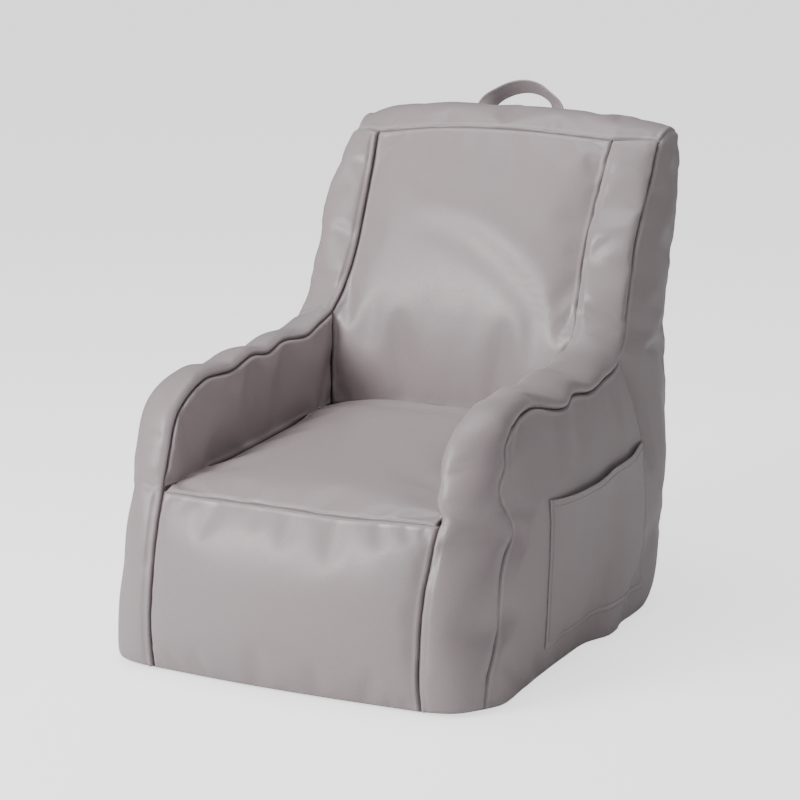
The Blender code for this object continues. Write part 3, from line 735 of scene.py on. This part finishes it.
def new_finish(name, roughness, metallic=0.0, specular=0.5, clouds=None):
    """A material, its tree and shader, and its mottling, given as (scale, colour, second colour)."""
    finish = bpy.data.materials.new(name)
    finish.use_nodes = True
    tree = finish.node_tree
    shader = tree.nodes["Principled BSDF"]
    put(tree, shader, {"Roughness": roughness, "Metallic": metallic, "Specular IOR Level": specular})
    mottle = None
    if clouds:
        mottle = placed(tree, "mottling", dict(zip(("Scale", "Colour", "Second"), clouds)))
        put(tree, shader, {"Base Color": mottle["Colour"]})
    return finish, tree, shader, mottle


def bumped(tree, shader, height, strength, distance):
    bump = add_node(tree, "ShaderNodeBump", {"Height": height, "Strength": strength, "Distance": distance})
    put(tree, shader, {"Normal": bump.outputs["Normal"]})


def leather_finish(settings):
    base = shade(settings.leather_colour)
    second = (base[0] * 1.01, base[1] * 0.975, base[2] * 0.985, 1)
    finish, tree, shader, mottle = new_finish("mauve_leather", settings.roughness, clouds=(6.0, base, second))
    gap = add_node(tree, "ShaderNodeAttribute", attribute_name="seam_distance").outputs["Fac"]
    # painted shade in each seam's groove and a painted highlight on its roll, set by the seam distance
    seam_light = placed(tree, "painted_seam_light", {"Distance": gap, "Colour": mottle["Colour"]})
    grain = placed(tree, "leather_grain", {"Scale": 640.0})
    tint = math_node(tree, "MULTIPLY", grain["Pores"], 0.10)
    rough = ranged(tree, mottle["Clouds"], 0.0, 1.0, settings.roughness - 0.03, settings.roughness + 0.04)
    rough = math_node(tree, "ADD", rough, math_node(tree, "MULTIPLY", grain["Pores"], 0.10))
    rough = math_node(tree, "SUBTRACT", rough, math_node(tree, "MULTIPLY", seam_light["Roll"], 0.05))
    put(tree, shader, {"Base Color": mixed(tree, tint, seam_light["Colour"], (0.16, 0.14, 0.145, 1)),
                       "Roughness": rough, "Sheen Weight": 0.04})
    bumped(tree, shader, grain["Height"], 0.22, 0.0006)
    return finish


def grained_finish(name, roughness, clouds, scale, rough_range, bump, specular=0.5):
    """A mottled finish with a fine grain: the strap's leather and the zip's nylon."""
    finish, tree, shader, mottle = new_finish(name, roughness, specular=specular, clouds=clouds)
    put(tree, shader, {"Roughness": ranged(tree, mottle["Clouds"], 0.0, 1.0, *rough_range)})
    bumped(tree, shader, placed(tree, "leather_grain", {"Scale": scale})["Height"], *bump)
    return finish


def thread_finish(settings):
    colour = settings.thread_colour
    finish, tree, shader, _ = new_finish("sewing_thread", 0.55, clouds=(120.0, shade(colour), shade(colour, 0.85)))
    bumped(tree, shader, placed(tree, "weave", {"Across": 900.0, "Up": 900.0})["Height"], 0.3, 0.0002)
    return finish


def woven_finish(name, colour, threads, roughness, depth, dark=0.8):
    """Tapes, lining and labels: a plain weave with threads per metre."""
    finish, tree, shader, mottle = new_finish(name, roughness, specular=0.25,
                                              clouds=(30.0, shade(colour), shade(colour, 0.92)))
    weave = placed(tree, "weave", {"Across": threads, "Up": threads})
    gaps = ranged(tree, weave["Threads"], 0.0, 1.0, 1.0 - dark, 0.0)
    put(tree, shader, {"Base Color": mixed(tree, gaps, mottle["Colour"], shade(colour, dark)),
                       "Roughness": ranged(tree, weave["Threads"], 0.0, 1.0, roughness + 0.08, roughness)})
    bumped(tree, shader, weave["Height"], 0.45, depth)
    return finish


def bead_finish():
    """Packed foam beads seen as a surface."""
    finish, tree, shader, _ = new_finish("foam_beads", 0.6, specular=0.35)
    beads = add_node(tree, "ShaderNodeTexVoronoi", {"Vector": place_of(tree), "Scale": 230.0})
    height = ranged(tree, beads.outputs["Distance"], 0.0, 0.7, 1.0, 0.0)
    # the beads' colour darkens towards the gaps between them: painted shade
    put(tree, shader, {"Base Color": mixed(tree, height, (0.62, 0.61, 0.58, 1), (0.92, 0.92, 0.90, 1)),
                       "Roughness": ranged(tree, height, 0.0, 1.0, 0.8, 0.5)})
    bumped(tree, shader, height, 0.9, 0.003)
    return finish


def metal_finish():
    """Nickel brushed along the zip."""
    finish, tree, shader, _ = new_finish("satin_nickel", 0.3, metallic=1.0,
                                         clouds=(150.0, (0.60, 0.59, 0.57, 1), (0.52, 0.51, 0.50, 1)))
    long = vector_node(tree, "MULTIPLY", place_of(tree), (200.0, 3000.0, 3000.0))
    brushed = add_node(tree, "ShaderNodeTexNoise", {"Vector": long, "Scale": 1.0, "Detail": 2.0}).outputs["Fac"]
    put(tree, shader, {"Roughness": ranged(tree, brushed, 0.3, 0.7, 0.22, 0.42)})
    bumped(tree, shader, brushed, 0.1, 0.0002)
    return finish


def floor_finish():
    finish, tree, shader, _ = new_finish("studio_floor", 0.9, specular=0.1,
                                         clouds=(0.6, (0.93, 0.93, 0.93, 1), (0.92, 0.92, 0.92, 1)))
    seen = add_node(tree, "ShaderNodeLightPath").outputs["Is Camera Ray"]
    put(tree, shader, {"Emission Color": (1, 1, 1, 1), "Emission Strength": math_node(tree, "MULTIPLY", seen, 1.45)})
    return finish


def make_finishes(settings):
    for group in (grain_group, mottle_group, painted_seam_light_group, weave_group):
        group()
    rough, base = settings.roughness, shade(settings.leather_colour, 0.92)
    second = (base[0] * 0.94, base[1] * 0.94, base[2] * 0.95, 1)
    return {
        "leather": leather_finish(settings), "thread": thread_finish(settings),
        "strap": grained_finish("strap_leather", rough + 0.04, (22.0, base, second), 700.0, (rough, rough + 0.09),
                                (0.22, 0.0005), 0.42),
        "chain": grained_finish("zip_coil", 0.38, (60.0, (0.20, 0.17, 0.175, 1), (0.25, 0.215, 0.22, 1)), 2200.0,
                                (0.32, 0.46), (0.08, 0.0002)),
        "tape": woven_finish("zip_tape_weave", (0.20, 0.175, 0.18), 900.0, 0.75, 0.0003),
        "lining": woven_finish("lining_weave", (0.74, 0.73, 0.70), 500.0, 0.85, 0.0003),
        "label": woven_finish("label_satin", (0.80, 0.79, 0.77), 1100.0, 0.55, 0.0001, 0.95),
        "beads": bead_finish(), "metal": metal_finish(),
    }


# ---------------------------------------------------------------- repeats made by Geometry Nodes

def run_tree():
    """A tree that sets small rounded links end to end along the lines it is given."""
    tree, given, out = new_group("links_on_lines", "GeometryNodeTree",
                                 [("Lines", "Geometry", None), ("Pitch", "Float", 0.0042),
                                  ("Link Size", "Vector", (0.0004, 0.0004, 0.0016)), ("Finish", "Material", None)],
                                 [("Geometry", "Geometry", None)])
    curve = add_node(tree, "GeometryNodeMeshToCurve", {0: given["Lines"]})
    points = add_node(tree, "GeometryNodeCurveToPoints", {"Curve": curve.outputs[0], "Length": given["Pitch"]},
                      mode="LENGTH").outputs
    link = add_node(tree, "GeometryNodeMeshUVSphere", {"Segments": 8, "Rings": 5, "Radius": 1.0})
    set_out = add_node(tree, "GeometryNodeInstanceOnPoints", {
        "Points": points["Points"], "Instance": link.outputs["Mesh"], "Rotation": points["Rotation"],
        "Scale": given["Link Size"]})
    real = add_node(tree, "GeometryNodeRealizeInstances", {0: set_out.outputs[0]})
    smooth = add_node(tree, "GeometryNodeSetShadeSmooth", {0: real.outputs[0]})
    dress = add_node(tree, "GeometryNodeSetMaterial", {"Geometry": smooth.outputs[0], "Material": given["Finish"]})
    tree.links.new(dress.outputs[0], out.inputs[0])
    return tree


def link_run(name, lines, pitch, size, finish):
    """Plain mesh of links set along the lines."""
    edges, start = [], 0
    for line in lines:
        edges += [(start + k, start + k + 1) for k in range(len(line) - 1)]
        start += len(line)
    mesh = bpy.data.meshes.new(name + "_lines")
    mesh.from_pydata(np.vstack(lines).tolist(), edges, [])
    carrier = add_piece(name + "_lines", mesh, smooth=False)
    tree = bpy.data.node_groups.get("links_on_lines") or run_tree()
    modifier = carrier.modifiers.new("links", "NODES")
    modifier.node_group = tree
    values = {"Pitch": pitch, "Link Size": size, "Finish": finish}
    for item in tree.interface.items_tree:
        if item.in_out == "INPUT" and item.name in values:
            modifier[item.identifier] = values[item.name]
    made = evaluated_mesh(carrier)
    bpy.data.objects.remove(carrier)
    return add_piece(name, made, finish)


# ---------------------------------------------------------------- pieces

STATE = {}


def need(key):
    if key not in STATE:
        raise RuntimeError("build the " + key + " first")
    return STATE[key]


def finish_of(key):
    return need("finishes")[key]


def fixed(piece, node, body="chair"):
    """Put a piece on the body it rides on, and hide the imported part it stands for."""
    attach(piece, body)
    if node:
        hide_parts(node)
    return piece


def cut_from_cover(name, regions, thickness):
    """Some regions of the cover as a closed skin of even thickness."""
    points, quads, names, distance = need("cover")
    faces = quads[np.isin(names, [REGIONS.index(region) for region in regions])]
    used, local = np.unique(faces, return_inverse=True)
    mesh = mesh_from(name, points[used], local.reshape(-1, 4))
    seam_gap(mesh, distance[used])
    piece = add_piece(name, mesh, finish_of("leather"))
    add_wall(piece, thickness)
    return piece


def region_tree(*names):
    """Search tree of the skin of some regions, for laying things on it."""
    points, quads, regions = need("cover")[:3]
    faces = quads[np.isin(regions, [REGIONS.index(name) for name in names])]
    return BVHTree.FromPolygons([Vector(p) for p in points], [tuple(map(int, f)) for f in faces])


def tucked(points, tree, margin):
    """Points moved inward where they lie nearer than the margin to the skin, or outside it."""
    points = points.copy()
    for k, point in enumerate(points):
        place, normal, _, _ = tree.find_nearest(Vector(point))
        if (Vector(point) - place).dot(normal) > -margin:
            points[k] = place - normal * margin
    return points


def seam_line(first, second):
    """The ordered points of the seam between two regions, without its ends."""
    points, quads, regions = need("cover")[:3]
    links = {}
    for a, b in between(*region_borders(quads, regions), first, second):
        links.setdefault(int(a), []).append(int(b))
        links.setdefault(int(b), []).append(int(a))
    order = [min((k for k in links if len(links[k]) == 1), key=lambda k: points[k][2] + points[k][1])]
    while onward := [k for k in links[order[-1]] if k not in order[-2:-1]]:
        order.append(onward[0])
    return points[order][2:-2]


def beside(line, region, offset=TOPSTITCH, lift=0.0003):
    """The line moved into a region's skin by the offset, lying on its surface."""
    tree = region_tree(region)
    tangents = np.gradient(line, axis=0)
    tangents /= np.maximum(np.linalg.norm(tangents, axis=1, keepdims=True), 1e-9)
    result = []
    for point, tangent in zip(line, tangents):
        _, normal, _, _ = tree.find_nearest(Vector(point))
        aside = Vector(tangent).cross(normal).normalized() * offset
        hits = [tree.find_nearest(Vector(point) + aside * sign) for sign in (1, -1)]
        reach = [(hit[0] - Vector(point)).length for hit in hits]
        best = hits[int(reach[1] > reach[0])]
        result.append(tuple(best[0] + best[1] * lift))
    result = np.array(result)
    for _ in range(2):
        result[1:-1] = (result[:-2] + 2 * result[1:-1] + result[2:]) / 4
    return result


def strap_rings(outline):
    """Cross-sections along the twisted strap; outline gives (width, thickness) shares."""
    up = Vector((0, math.sin(HANDLE_LEAN), math.cos(HANDLE_LEAN)))
    out = Vector((0, math.cos(HANDLE_LEAN), -math.sin(HANDLE_LEAN)))
    centre = []
    for angle in (math.pi * (1 - k / HANDLE_RINGS) for k in range(HANDLE_RINGS + 1)):
        height = 0.002 + HANDLE_RISE * math.sin(angle) ** 1.5
        centre.append(Vector(HANDLE_FOOT) + Vector((HANDLE_HALF * math.cos(angle), 0, 0)) + up * height)
    rings = []
    for k, point in enumerate(centre):
        along = (centre[k + 1] - centre[k - 1]).normalized() if 0 < k < HANDLE_RINGS else (-up if k else up)
        inward = out.cross(along).normalized()
        share = min(min(k, HANDLE_RINGS - k) / HANDLE_RINGS / 0.30, 1.0)
        turn = HANDLE_TWIST * share * share * (3 - 2 * share)
        wide = (inward * math.cos(turn) + out * math.sin(turn)).normalized()
        thin = wide.cross(along).normalized()
        half = HANDLE_WIDTH / 2 * (0.72 + 0.28 * math.sin(turn))
        rings.append([tuple(point + wide * (half * w) + thin * (HANDLE_THICK / 2 * s)) for w, s in outline])
    return rings


def tube_mesh(name, rings):
    """Rings of equal count joined into a closed solid with fan ends."""
    count = len(rings[0])
    points = [p for ring in rings for p in ring]
    faces = []
    for r in range(len(rings) - 1):
        for k in range(count):
            a, b = r * count + k, r * count + (k + 1) % count
            faces.append((a, b, b + count, a + count))
    for ring in (0, len(rings) - 1):
        first = ring * count
        points.append(tuple(np.mean(rings[ring], axis=0)))
        faces += [(first + k, first + (k + 1) % count, len(points) - 1) for k in range(count)]
    return closed_mesh(name, points, faces)


def slab_mesh(name, grid, thickness, towards):
    """A grid of points with a wall of the given thickness behind it, closed all round."""
    index, cells = grid_cells(*grid.shape[:2])
    cells = cells.reshape(-1, 4)
    normal = grid_normals(grid)
    if (normal.mean(axis=(0, 1)) @ np.array(towards)) < 0:
        normal, cells = -normal, cells[:, ::-1]
    back = (grid - normal * thickness).reshape(-1, 3)
    rim = np.concatenate([index[0, :], index[1:, -1], index[-1, -2::-1], index[-2:0:-1, 0]])
    onward = np.roll(rim, -1)
    walls = np.stack([rim, onward, onward + index.size, rim + index.size], axis=1)
    return closed_mesh(name, np.vstack([grid.reshape(-1, 3), back]),
                       np.vstack([cells, cells[:, ::-1] + index.size, walls]))


def signed_power(value, power):
    return math.copysign(abs(value) ** power, value)


class ARMCHAIR_OT_cover(bpy.types.Operator):
    """Sew and fill out the cover, one piece for each panel"""
    bl_idname = "armchair.cover"
    bl_label = "Cover"

    def execute(self, context):
        settings = context.scene.armchair
        STATE["finishes"] = make_finishes(settings)
        STATE["cover"] = build_cover(settings)
        for region, node in PANELS.items():
            piece = fixed(cut_from_cover("cover_" + node, [region], settings.skin), node)
        return {"FINISHED"}


class ARMCHAIR_OT_filling(bpy.types.Operator):
    """Make the liners, the bead fills and the inner walls"""
    bl_idname = "armchair.filling"
    bl_label = "Liners and beads"

    def execute(self, context):
        skin_tree = region_tree(*PANELS)
        for room in ("seat", "back", "left_arm", "right_arm"):
            for kind, word, shrink, margin, finish, slot in (
                    ("_bead_fill", "packed_", 0.0085, 0.0065, "beads", "beads"),
                    ("_liner", "bag_", 0.0060, 0.0045, "lining", "liner")):
                points, faces = self.lump(room)
                ripple = np.array([noise.noise(Vector(p) * 24.0) for p in points])
                points = points - vertex_normals(points, faces) * (shrink + 0.0012 * (ripple[:, None] + 1))
                name = room + kind
                mesh = mesh_from(name, tucked(points, skin_tree, margin), faces)
                piece = add_piece(word + name, mesh, finish_of(finish))
                if kind == "_liner":
                    add_wall(piece, LINING)
                fixed(piece, name)
        for name in ("left_baffle", "right_baffle", "rear_baffle"):
            self.wall(name)
        return {"FINISHED"}

    def lump(self, room):
        """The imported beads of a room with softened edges, as points and quads."""
        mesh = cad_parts[room + "_bead_fill"].data.copy()
        bm = bmesh.new()
        bm.from_mesh(mesh)
        bmesh.ops.remove_doubles(bm, verts=bm.verts, dist=1e-5)
        bm.to_mesh(mesh)
        bm.free()
        lump = add_piece(room + "_lump", mesh)
        remesh = lump.modifiers.new("remesh", "REMESH")
        remesh.mode, remesh.voxel_size = "VOXEL", 0.008
        soften = lump.modifiers.new("soften", "SMOOTH")
        soften.factor, soften.iterations = 0.6, 9
        return taken(lump)[:2]

    def wall(self, name):
        """A slack sheet of lining between two compartments."""
        low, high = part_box(name)
        flat = 1 if high.y - low.y < high.x - low.x else 0
        start, top = ((0.010, 0.016), (0.050, 0.040))[flat == 0]
        u = np.linspace(low[1 - flat] + start, high[1 - flat] - 0.010, 40)
        v = np.linspace(low[2] + 0.006, high[2] - top, 24)
        grid = np.zeros((24, 40, 3))
        grid[:, :, 1 - flat], grid[:, :, 2] = u[None, :], v[:, None]
        ripple = 0.0014 * np.sin(u / 0.034)[None, :] * np.sin(math.pi * np.linspace(0, 1, 24))[:, None]
        grid[:, :, flat] = (low[flat] + high[flat]) / 2 + ripple
        piece = add_piece("sheet_" + name, slab_mesh(name, grid, LINING, (1 - flat, flat, 0)), finish_of("lining"))
        fixed(piece, name)


class ARMCHAIR_OT_pocket(bpy.types.Operator):
    """Lay the side pocket on the left side panel, open along its mouth"""
    bl_idname = "armchair.pocket"
    bl_label = "Side pocket"

    def execute(self, context):
        tree = region_tree("left_side")
        mouth = through(metres([(0, y, z) for y, z in POCKET_MOUTH]))
        u = np.linspace(0, 1, POCKET_COLUMNS)
        v = 1 - (1 - np.linspace(0, 1, POCKET_ROWS)) ** 1.3
        front, rear = (np.interp(v, *zip(*edge)) for edge in (POCKET_FRONT, POCKET_REAR))
        grid = np.zeros((POCKET_ROWS, POCKET_COLUMNS, 3))
        for r in range(POCKET_ROWS):
            for c in range(POCKET_COLUMNS):
                y = front[r] + (rear[r] - front[r]) * u[c]
                top = float(np.interp(y, mouth[:, 1], mouth[:, 2]))
                z = POCKET_FOOT + (top - POCKET_FOOT) * v[r]
                hit = tree.ray_cast(Vector((0.45, y, z)), Vector((-1, 0, 0)))[0]
                x = hit.x if hit else 0.286
                sewn = min(u[c] * POCKET_WIDE, (1 - u[c]) * POCKET_WIDE, v[r] * POCKET_TALL) / 0.030
                sewn = min(max(sewn, 0.0), 1.0)
                gape = math.sin(math.pi * u[c]) ** 0.7 * max(0.0, (v[r] - 0.62) / 0.38) ** 1.8
                slack = 0.0006 * math.sin(40 * y + 9 * v[r]) * sewn
                grid[r, c] = (x + 0.0019 + 0.0014 * sewn + 0.0058 * gape + slack, y, z)
        for _ in range(6):
            grid[1:-1, 1:-1, 0] = (grid[1:-1, :-2, 0] + grid[1:-1, 2:, 0] + grid[:-2, 1:-1, 0]
                                   + grid[2:, 1:-1, 0] + 4 * grid[1:-1, 1:-1, 0]) / 8
        hem = POCKET_TALL * (1 - v)[:, None] < 0.011
        grid[:, :, 0] += hem * 0.0007
        STATE["pocket"] = grid
        mesh = slab_mesh("side_pocket", grid, POCKET_SKIN, (1, 0, 0))
        # distance from the pocket's edges, set 3.4 mm off so the leather's finish paints a highlight band near them
        # but no seam shade
        edge = np.minimum(np.minimum(u, 1 - u)[None, :] * POCKET_WIDE, v[:, None] * POCKET_TALL).reshape(-1) + 0.0034
        seam_gap(mesh, np.tile(edge, 2))
        piece = fixed(add_piece("patch_side_pocket", mesh, finish_of("leather")), "side_pocket")
        return {"FINISHED"}


class ARMCHAIR_OT_strap(bpy.types.Operator):
    """Make the carry strap with its two sewn edges"""
    bl_idname = "armchair.strap"
    bl_label = "Carry strap"

    def execute(self, context):
        settings = context.scene.armchair
        outline = [(1.0, 0.0), (0.985, 0.62), (0.93, 0.95), (0.80, 1.0), (0.72, 0.86), (0.40, 0.96), (0.0, 1.0)]
        outline += [(-w, s) for w, s in outline[-2::-1]]
        outline += [(w, -s) for w, s in outline[-2:0:-1]]
        piece = add_piece("loop_carry_handle", tube_mesh("carry_handle", strap_rings(outline)), finish_of("strap"))
        fixed(piece, "carry_handle", "handle")
        rows = strap_rings([(0.76, 1.06), (-0.76, 1.06), (0.76, -1.06), (-0.76, -1.06)])
        lines = [np.array([ring[k] for ring in rows[2:-2]]) for k in range(4)]
        thread = link_run("thread_strap", lines, settings.stitch_pitch,
                          (0.00032, 0.00032, settings.stitch_length / 2), finish_of("thread"))
        fixed(thread, None, "handle")
        return {"FINISHED"}


class ARMCHAIR_OT_zip(bpy.types.Operator):
    """Make the zip's tapes, coils, stops, slider and hood across the rear"""
    bl_idname = "armchair.zip"
    bl_label = "Rear zip"

    def execute(self, context):
        for word in ("upper", "lower"):
            self.tape(word)
        for word in ("left", "right"):
            self.block("stop_zip_" + word, "zip_stop_" + word, "chair", (0, 0.0016), 0.00024)
        self.block("plate_zip_slider", "zip_slider", "slider", (0.0020, 0.0020), 0.00033, 0.55)
        self.hood()
        facing = fixed(cut_from_cover("facing_zip", ["zip", "zip_upper"], 0.0012), None)
        return {"FINISHED"}

    def tape(self, word):
        """One half of the zip: its woven tape and its row of coils."""
        low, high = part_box("zip_" + word + "_tape")
        x = np.linspace(-ZIP_REACH - 0.012, ZIP_REACH + 0.012, 120)
        z = np.linspace(low.z, high.z, 8)
        grid = np.zeros((8, 120, 3))
        grid[:, :, 0], grid[:, :, 2] = x[None, :], z[:, None]
        slope = (z - low.z) / (high.z - low.z)
        grid[:, :, 1] = (high.y + 0.0008 + 0.0012 * slope)[:, None] + 0.0002 * np.sin(x * 90)[None, :]
        piece = add_piece("tape_zip_" + word, slab_mesh("tape_" + word, grid, TAPE, (0, 1, 0)), finish_of("tape"))
        fixed(piece, "zip_" + word + "_tape")
        low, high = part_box("zip_" + word + "_teeth")
        shift = 0.0007 if word == "upper" else 0.0
        line = np.array([(x + shift, high.y + 0.0016, (low.z + high.z) / 2) for x in (-ZIP_REACH, 0, ZIP_REACH)])
        coil = link_run("coil_zip_" + word, [line], 0.0017, (0.0017, 0.0011, 0.00075), finish_of("chain"))
        fixed(coil, "zip_" + word + "_teeth")

    def block(self, name, node, body, lift, edge, waist=1.0):
        """A cast block with rounded edges, narrower at its middle by the waist."""
        low, high = (corner + Vector((0, rise, 0)) for corner, rise in zip(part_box(node), lift))
        centre, half = (low + high) / 2, (high - low) / 2
        rings = []
        for t in np.linspace(-1, 1, 9):
            width = half.z * (waist + (1 - waist) * abs(t) ** 1.5)
            depth = half.y * (1.0 - 0.25 * abs(t) ** 3)
            rings.append([(centre.x + half.x * t, centre.y + depth * signed_power(math.sin(a), 0.45),
                           centre.z + width * signed_power(math.cos(a), 0.45))
                          for a in np.linspace(0, 2 * math.pi, 17)[:-1]])
        piece = add_piece(name, tube_mesh(name, rings), finish_of("metal"))
        bevel = piece.modifiers.new("edges", "BEVEL")
        bevel.width, bevel.segments = edge, 2
        bevel.limit_method, bevel.angle_limit = "ANGLE", math.radians(50)
        fixed(piece, node, body)

    def hood(self):
        """The small leather hood that covers the parked slider."""
        low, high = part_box("zip_garage")
        grid = np.zeros((17, 21, 3))
        grid[:, :, 0] = np.linspace(low.x, high.x, 21)[None, :]
        for k, a in enumerate(np.linspace(0, math.pi, 17)):
            grid[k, :, 2] = ZIP_Z - (high.z - low.z) / 2 * signed_power(math.cos(a), 0.7)
            grid[k, :, 1] = low.y + 0.0012 + (high.y - low.y + 0.0010) * abs(math.sin(a)) ** 0.6
        grid[:, :, 1] += 0.0002 * np.sin(grid[:, :, 0] * 700)
        mesh = slab_mesh("zip_garage", grid, HIDE, (0, 1, 0))
        seam_gap(mesh, np.full(len(mesh.vertices), 0.02))
        piece = fixed(add_piece("hood_zip_garage", mesh, finish_of("leather")), "zip_garage")


class ARMCHAIR_OT_label(bpy.types.Operator):
    """Sew the blank care label to the rear"""
    bl_idname = "armchair.label"
    bl_label = "Care label"

    def execute(self, context):
        tree = region_tree("rear_upper")
        grid = np.zeros((18, 26, 3))
        for r, v in enumerate(np.linspace(0, 1, 18)):
            for c, u in enumerate(np.linspace(0, 1, 26)):
                x, z = LABEL_CORNER[0] + LABEL_WIDE * u, LABEL_CORNER[1] - LABEL_TALL * v
                hit = tree.ray_cast(Vector((x, 0.6, z)), Vector((0, -1, 0)))[0]
                y = hit.y if hit else 0.314
                grid[r, c] = (x, y + 0.0009 + 0.0030 * v ** 2 + 0.0004 * math.sin(9 * u) * v, z)
        piece = add_piece("tab_care_label", slab_mesh("care_label", grid, LABEL_SKIN, (0, 1, 0)), finish_of("label"))
        fixed(piece, "care_label")
        return {"FINISHED"}


class ARMCHAIR_OT_stitching(bpy.types.Operator):
    """Run the topstitching beside the seams, the pocket's edges and the zip"""
    bl_idname = "armchair.stitching"
    bl_label = "Topstitching"

    def execute(self, context):
        settings = context.scene.armchair
        lines = []
        for word in SIDES:
            band = word + "_band"
            lines += [beside(seam_line(band, other), band) for other in ("front", "back", word + "_inner",
                                                                        word + "_side")]
        for first, second, side in (("left_band", "front", "front"), ("front", "seat", "front"),
                                    ("back", "top", "top")):
            lines.append(beside(seam_line(first, second), side))
        for word, edge, lift in (("upper", 1, 0.0021), ("lower", 0, 0.0011)):
            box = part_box("zip_" + word + "_tape")
            z = box[edge].z - 0.0016 * (1 if edge else -1)
            lines.append(np.array([(x, box[1].y + lift, z)
                                   for x in np.linspace(-ZIP_REACH - 0.008, ZIP_REACH + 0.008, 60)]))
        grid = need("pocket") + np.array([0.0004, 0, 0])
        lines += [grid[3:-1, 1], grid[3:-1, -2], grid[2, 1:-1], grid[3:-1, 2], grid[-7, 1:-1]]
        thread = link_run("thread_cover", lines, settings.stitch_pitch,
                          (0.00034, 0.00034, settings.stitch_length / 2), finish_of("thread"))
        fixed(thread, None)
        return {"FINISHED"}


class ARMCHAIR_OT_stage(bpy.types.Operator):
    """Lay the floor and set the lights and the camera"""
    bl_idname = "armchair.stage"
    bl_label = "Studio"

    def execute(self, context):
        settings, scene = context.scene.armchair, context.scene
        corners = [(60.0 * x, 60.0 * y, -0.0004) for x, y in ((-1, -1), (1, -1), (1, 1), (-1, 1))]
        add_piece("studio_floor", mesh_from("studio_floor", corners, [(0, 1, 2, 3)]), floor_finish(),
                           smooth=False)
        scene.world = bpy.data.worlds.new("studio_air")
        scene.world.use_nodes = True
        tree = scene.world.node_tree
        put(tree, tree.nodes["Background"], {"Color": (0.93, 0.94, 0.95, 1), "Strength": settings.air})
        for name, place, aim, size, power in (
                ("key", (-1.65, -2.85, 1.85), (0.0, 0.0, 0.38), 1.5, settings.key),
                ("top", (-0.3, 0.0, 3.0), (0.0, 0.0, 0.3), 1.8, settings.key * 0.31),
                ("side", (2.8, -1.2, 1.3), (0.1, 0.0, 0.35), 2.2, settings.key * 0.03)):
            light = bpy.data.lights.new(name, "AREA")
            light.shape, light.size, light.energy = "SQUARE", size, power
            self.aimed(bpy.data.objects.new(name, light), Vector(place), Vector(aim) - Vector(place))
        flat = math.cos(CAMERA_ELEVATION)
        away = Vector((math.sin(CAMERA_AZIMUTH) * flat, -math.cos(CAMERA_AZIMUTH) * flat,
                       math.sin(CAMERA_ELEVATION)))
        camera = bpy.data.objects.new("studio_camera", bpy.data.cameras.new("studio_camera"))
        camera.data.lens, camera.data.sensor_width = settings.lens, SENSOR
        self.aimed(camera, Vector(CAMERA_TARGET) + away * CAMERA_DISTANCE, -away)
        scene.camera = camera
        return {"FINISHED"}

    def aimed(self, thing, place, towards):
        """Stand a light or the camera at a place, looking towards something."""
        thing.location = place
        thing.rotation_euler = towards.to_track_quat("-Z", "Y").to_euler()
        bpy.context.scene.collection.objects.link(thing)


def number(name, description, low, high, default, **more):
    return FloatProperty(name=name, description=description, min=low, max=high, default=default, **more)


def tone(name, description, default):
    return FloatVectorProperty(name=name, description=description, subtype="COLOR", size=3, min=0, max=1,
                               default=default)


class ArmchairSettings(bpy.types.PropertyGroup):
    """Sizes and colours of the armchair that a user may change"""
    leather_colour: tone("Leather colour", "Colour of the cover's leather", (0.375, 0.325, 0.335))
    thread_colour: tone("Thread colour", "Colour of the topstitching", (0.40, 0.355, 0.365))
    roughness: number("Roughness", "Roughness of the leather", 0, 1, 0.335, subtype="FACTOR")
    skin: number("Skin", "Thickness of the cover", 0.0005, 0.004, 0.0014, unit="LENGTH")
    seam_depth: number("Seam depth", "How deep the seams pull in", 0, 0.008, 0.0030, unit="LENGTH")
    pressure: number("Pressure", "How hard the beads push the cover out", 0, 12, 4.0)
    growth: number("Slack", "Share by which the cloth is larger than its seams", 0, 0.1, 0.010, subtype="FACTOR")
    fill: number("Fill", "How full the bag is", 0, 1, 0.8, subtype="FACTOR")
    stitch_pitch: number("Stitch pitch", "Distance from stitch to stitch", 0.002, 0.01, 0.0040, unit="LENGTH")
    stitch_length: number("Stitch length", "Length of one stitch", 0.001, 0.009, 0.0031, unit="LENGTH")
    key: number("Key light", "Power of the main light", 0, 1000, 122.0, unit="POWER")
    air: number("Surrounding light", "Strength of the light from all round", 0, 5, 0.255)
    lens: number("Lens", "Focal length of the camera in millimetres", 10, 400, 125.6)


STEPS = ["cover", "filling", "pocket", "strap", "zip", "label", "stitching", "stage"]


class ARMCHAIR_PT_panel(bpy.types.Panel):
    """Lists the steps that build the armchair"""
    bl_label = "Armchair"
    bl_idname = "ARMCHAIR_PT_panel"
    bl_space_type = "VIEW_3D"
    bl_region_type = "UI"
    bl_category = "Armchair"

    def draw(self, context):
        for name in ArmchairSettings.__annotations__:
            self.layout.prop(context.scene.armchair, name)
        for step in STEPS:
            self.layout.operator("armchair." + step)


CLASSES = (ArmchairSettings, ARMCHAIR_OT_cover, ARMCHAIR_OT_filling, ARMCHAIR_OT_pocket, ARMCHAIR_OT_strap,
           ARMCHAIR_OT_zip, ARMCHAIR_OT_label, ARMCHAIR_OT_stitching, ARMCHAIR_OT_stage, ARMCHAIR_PT_panel)


def register():
    for item in CLASSES:
        bpy.utils.register_class(item)
    bpy.types.Scene.armchair = PointerProperty(type=ArmchairSettings)


def unregister():
    del bpy.types.Scene.armchair
    for item in reversed(CLASSES):
        bpy.utils.unregister_class(item)


def main():
    register()
    for step in STEPS:
        getattr(bpy.ops.armchair, step)()


if __name__ == "__main__":
    main()
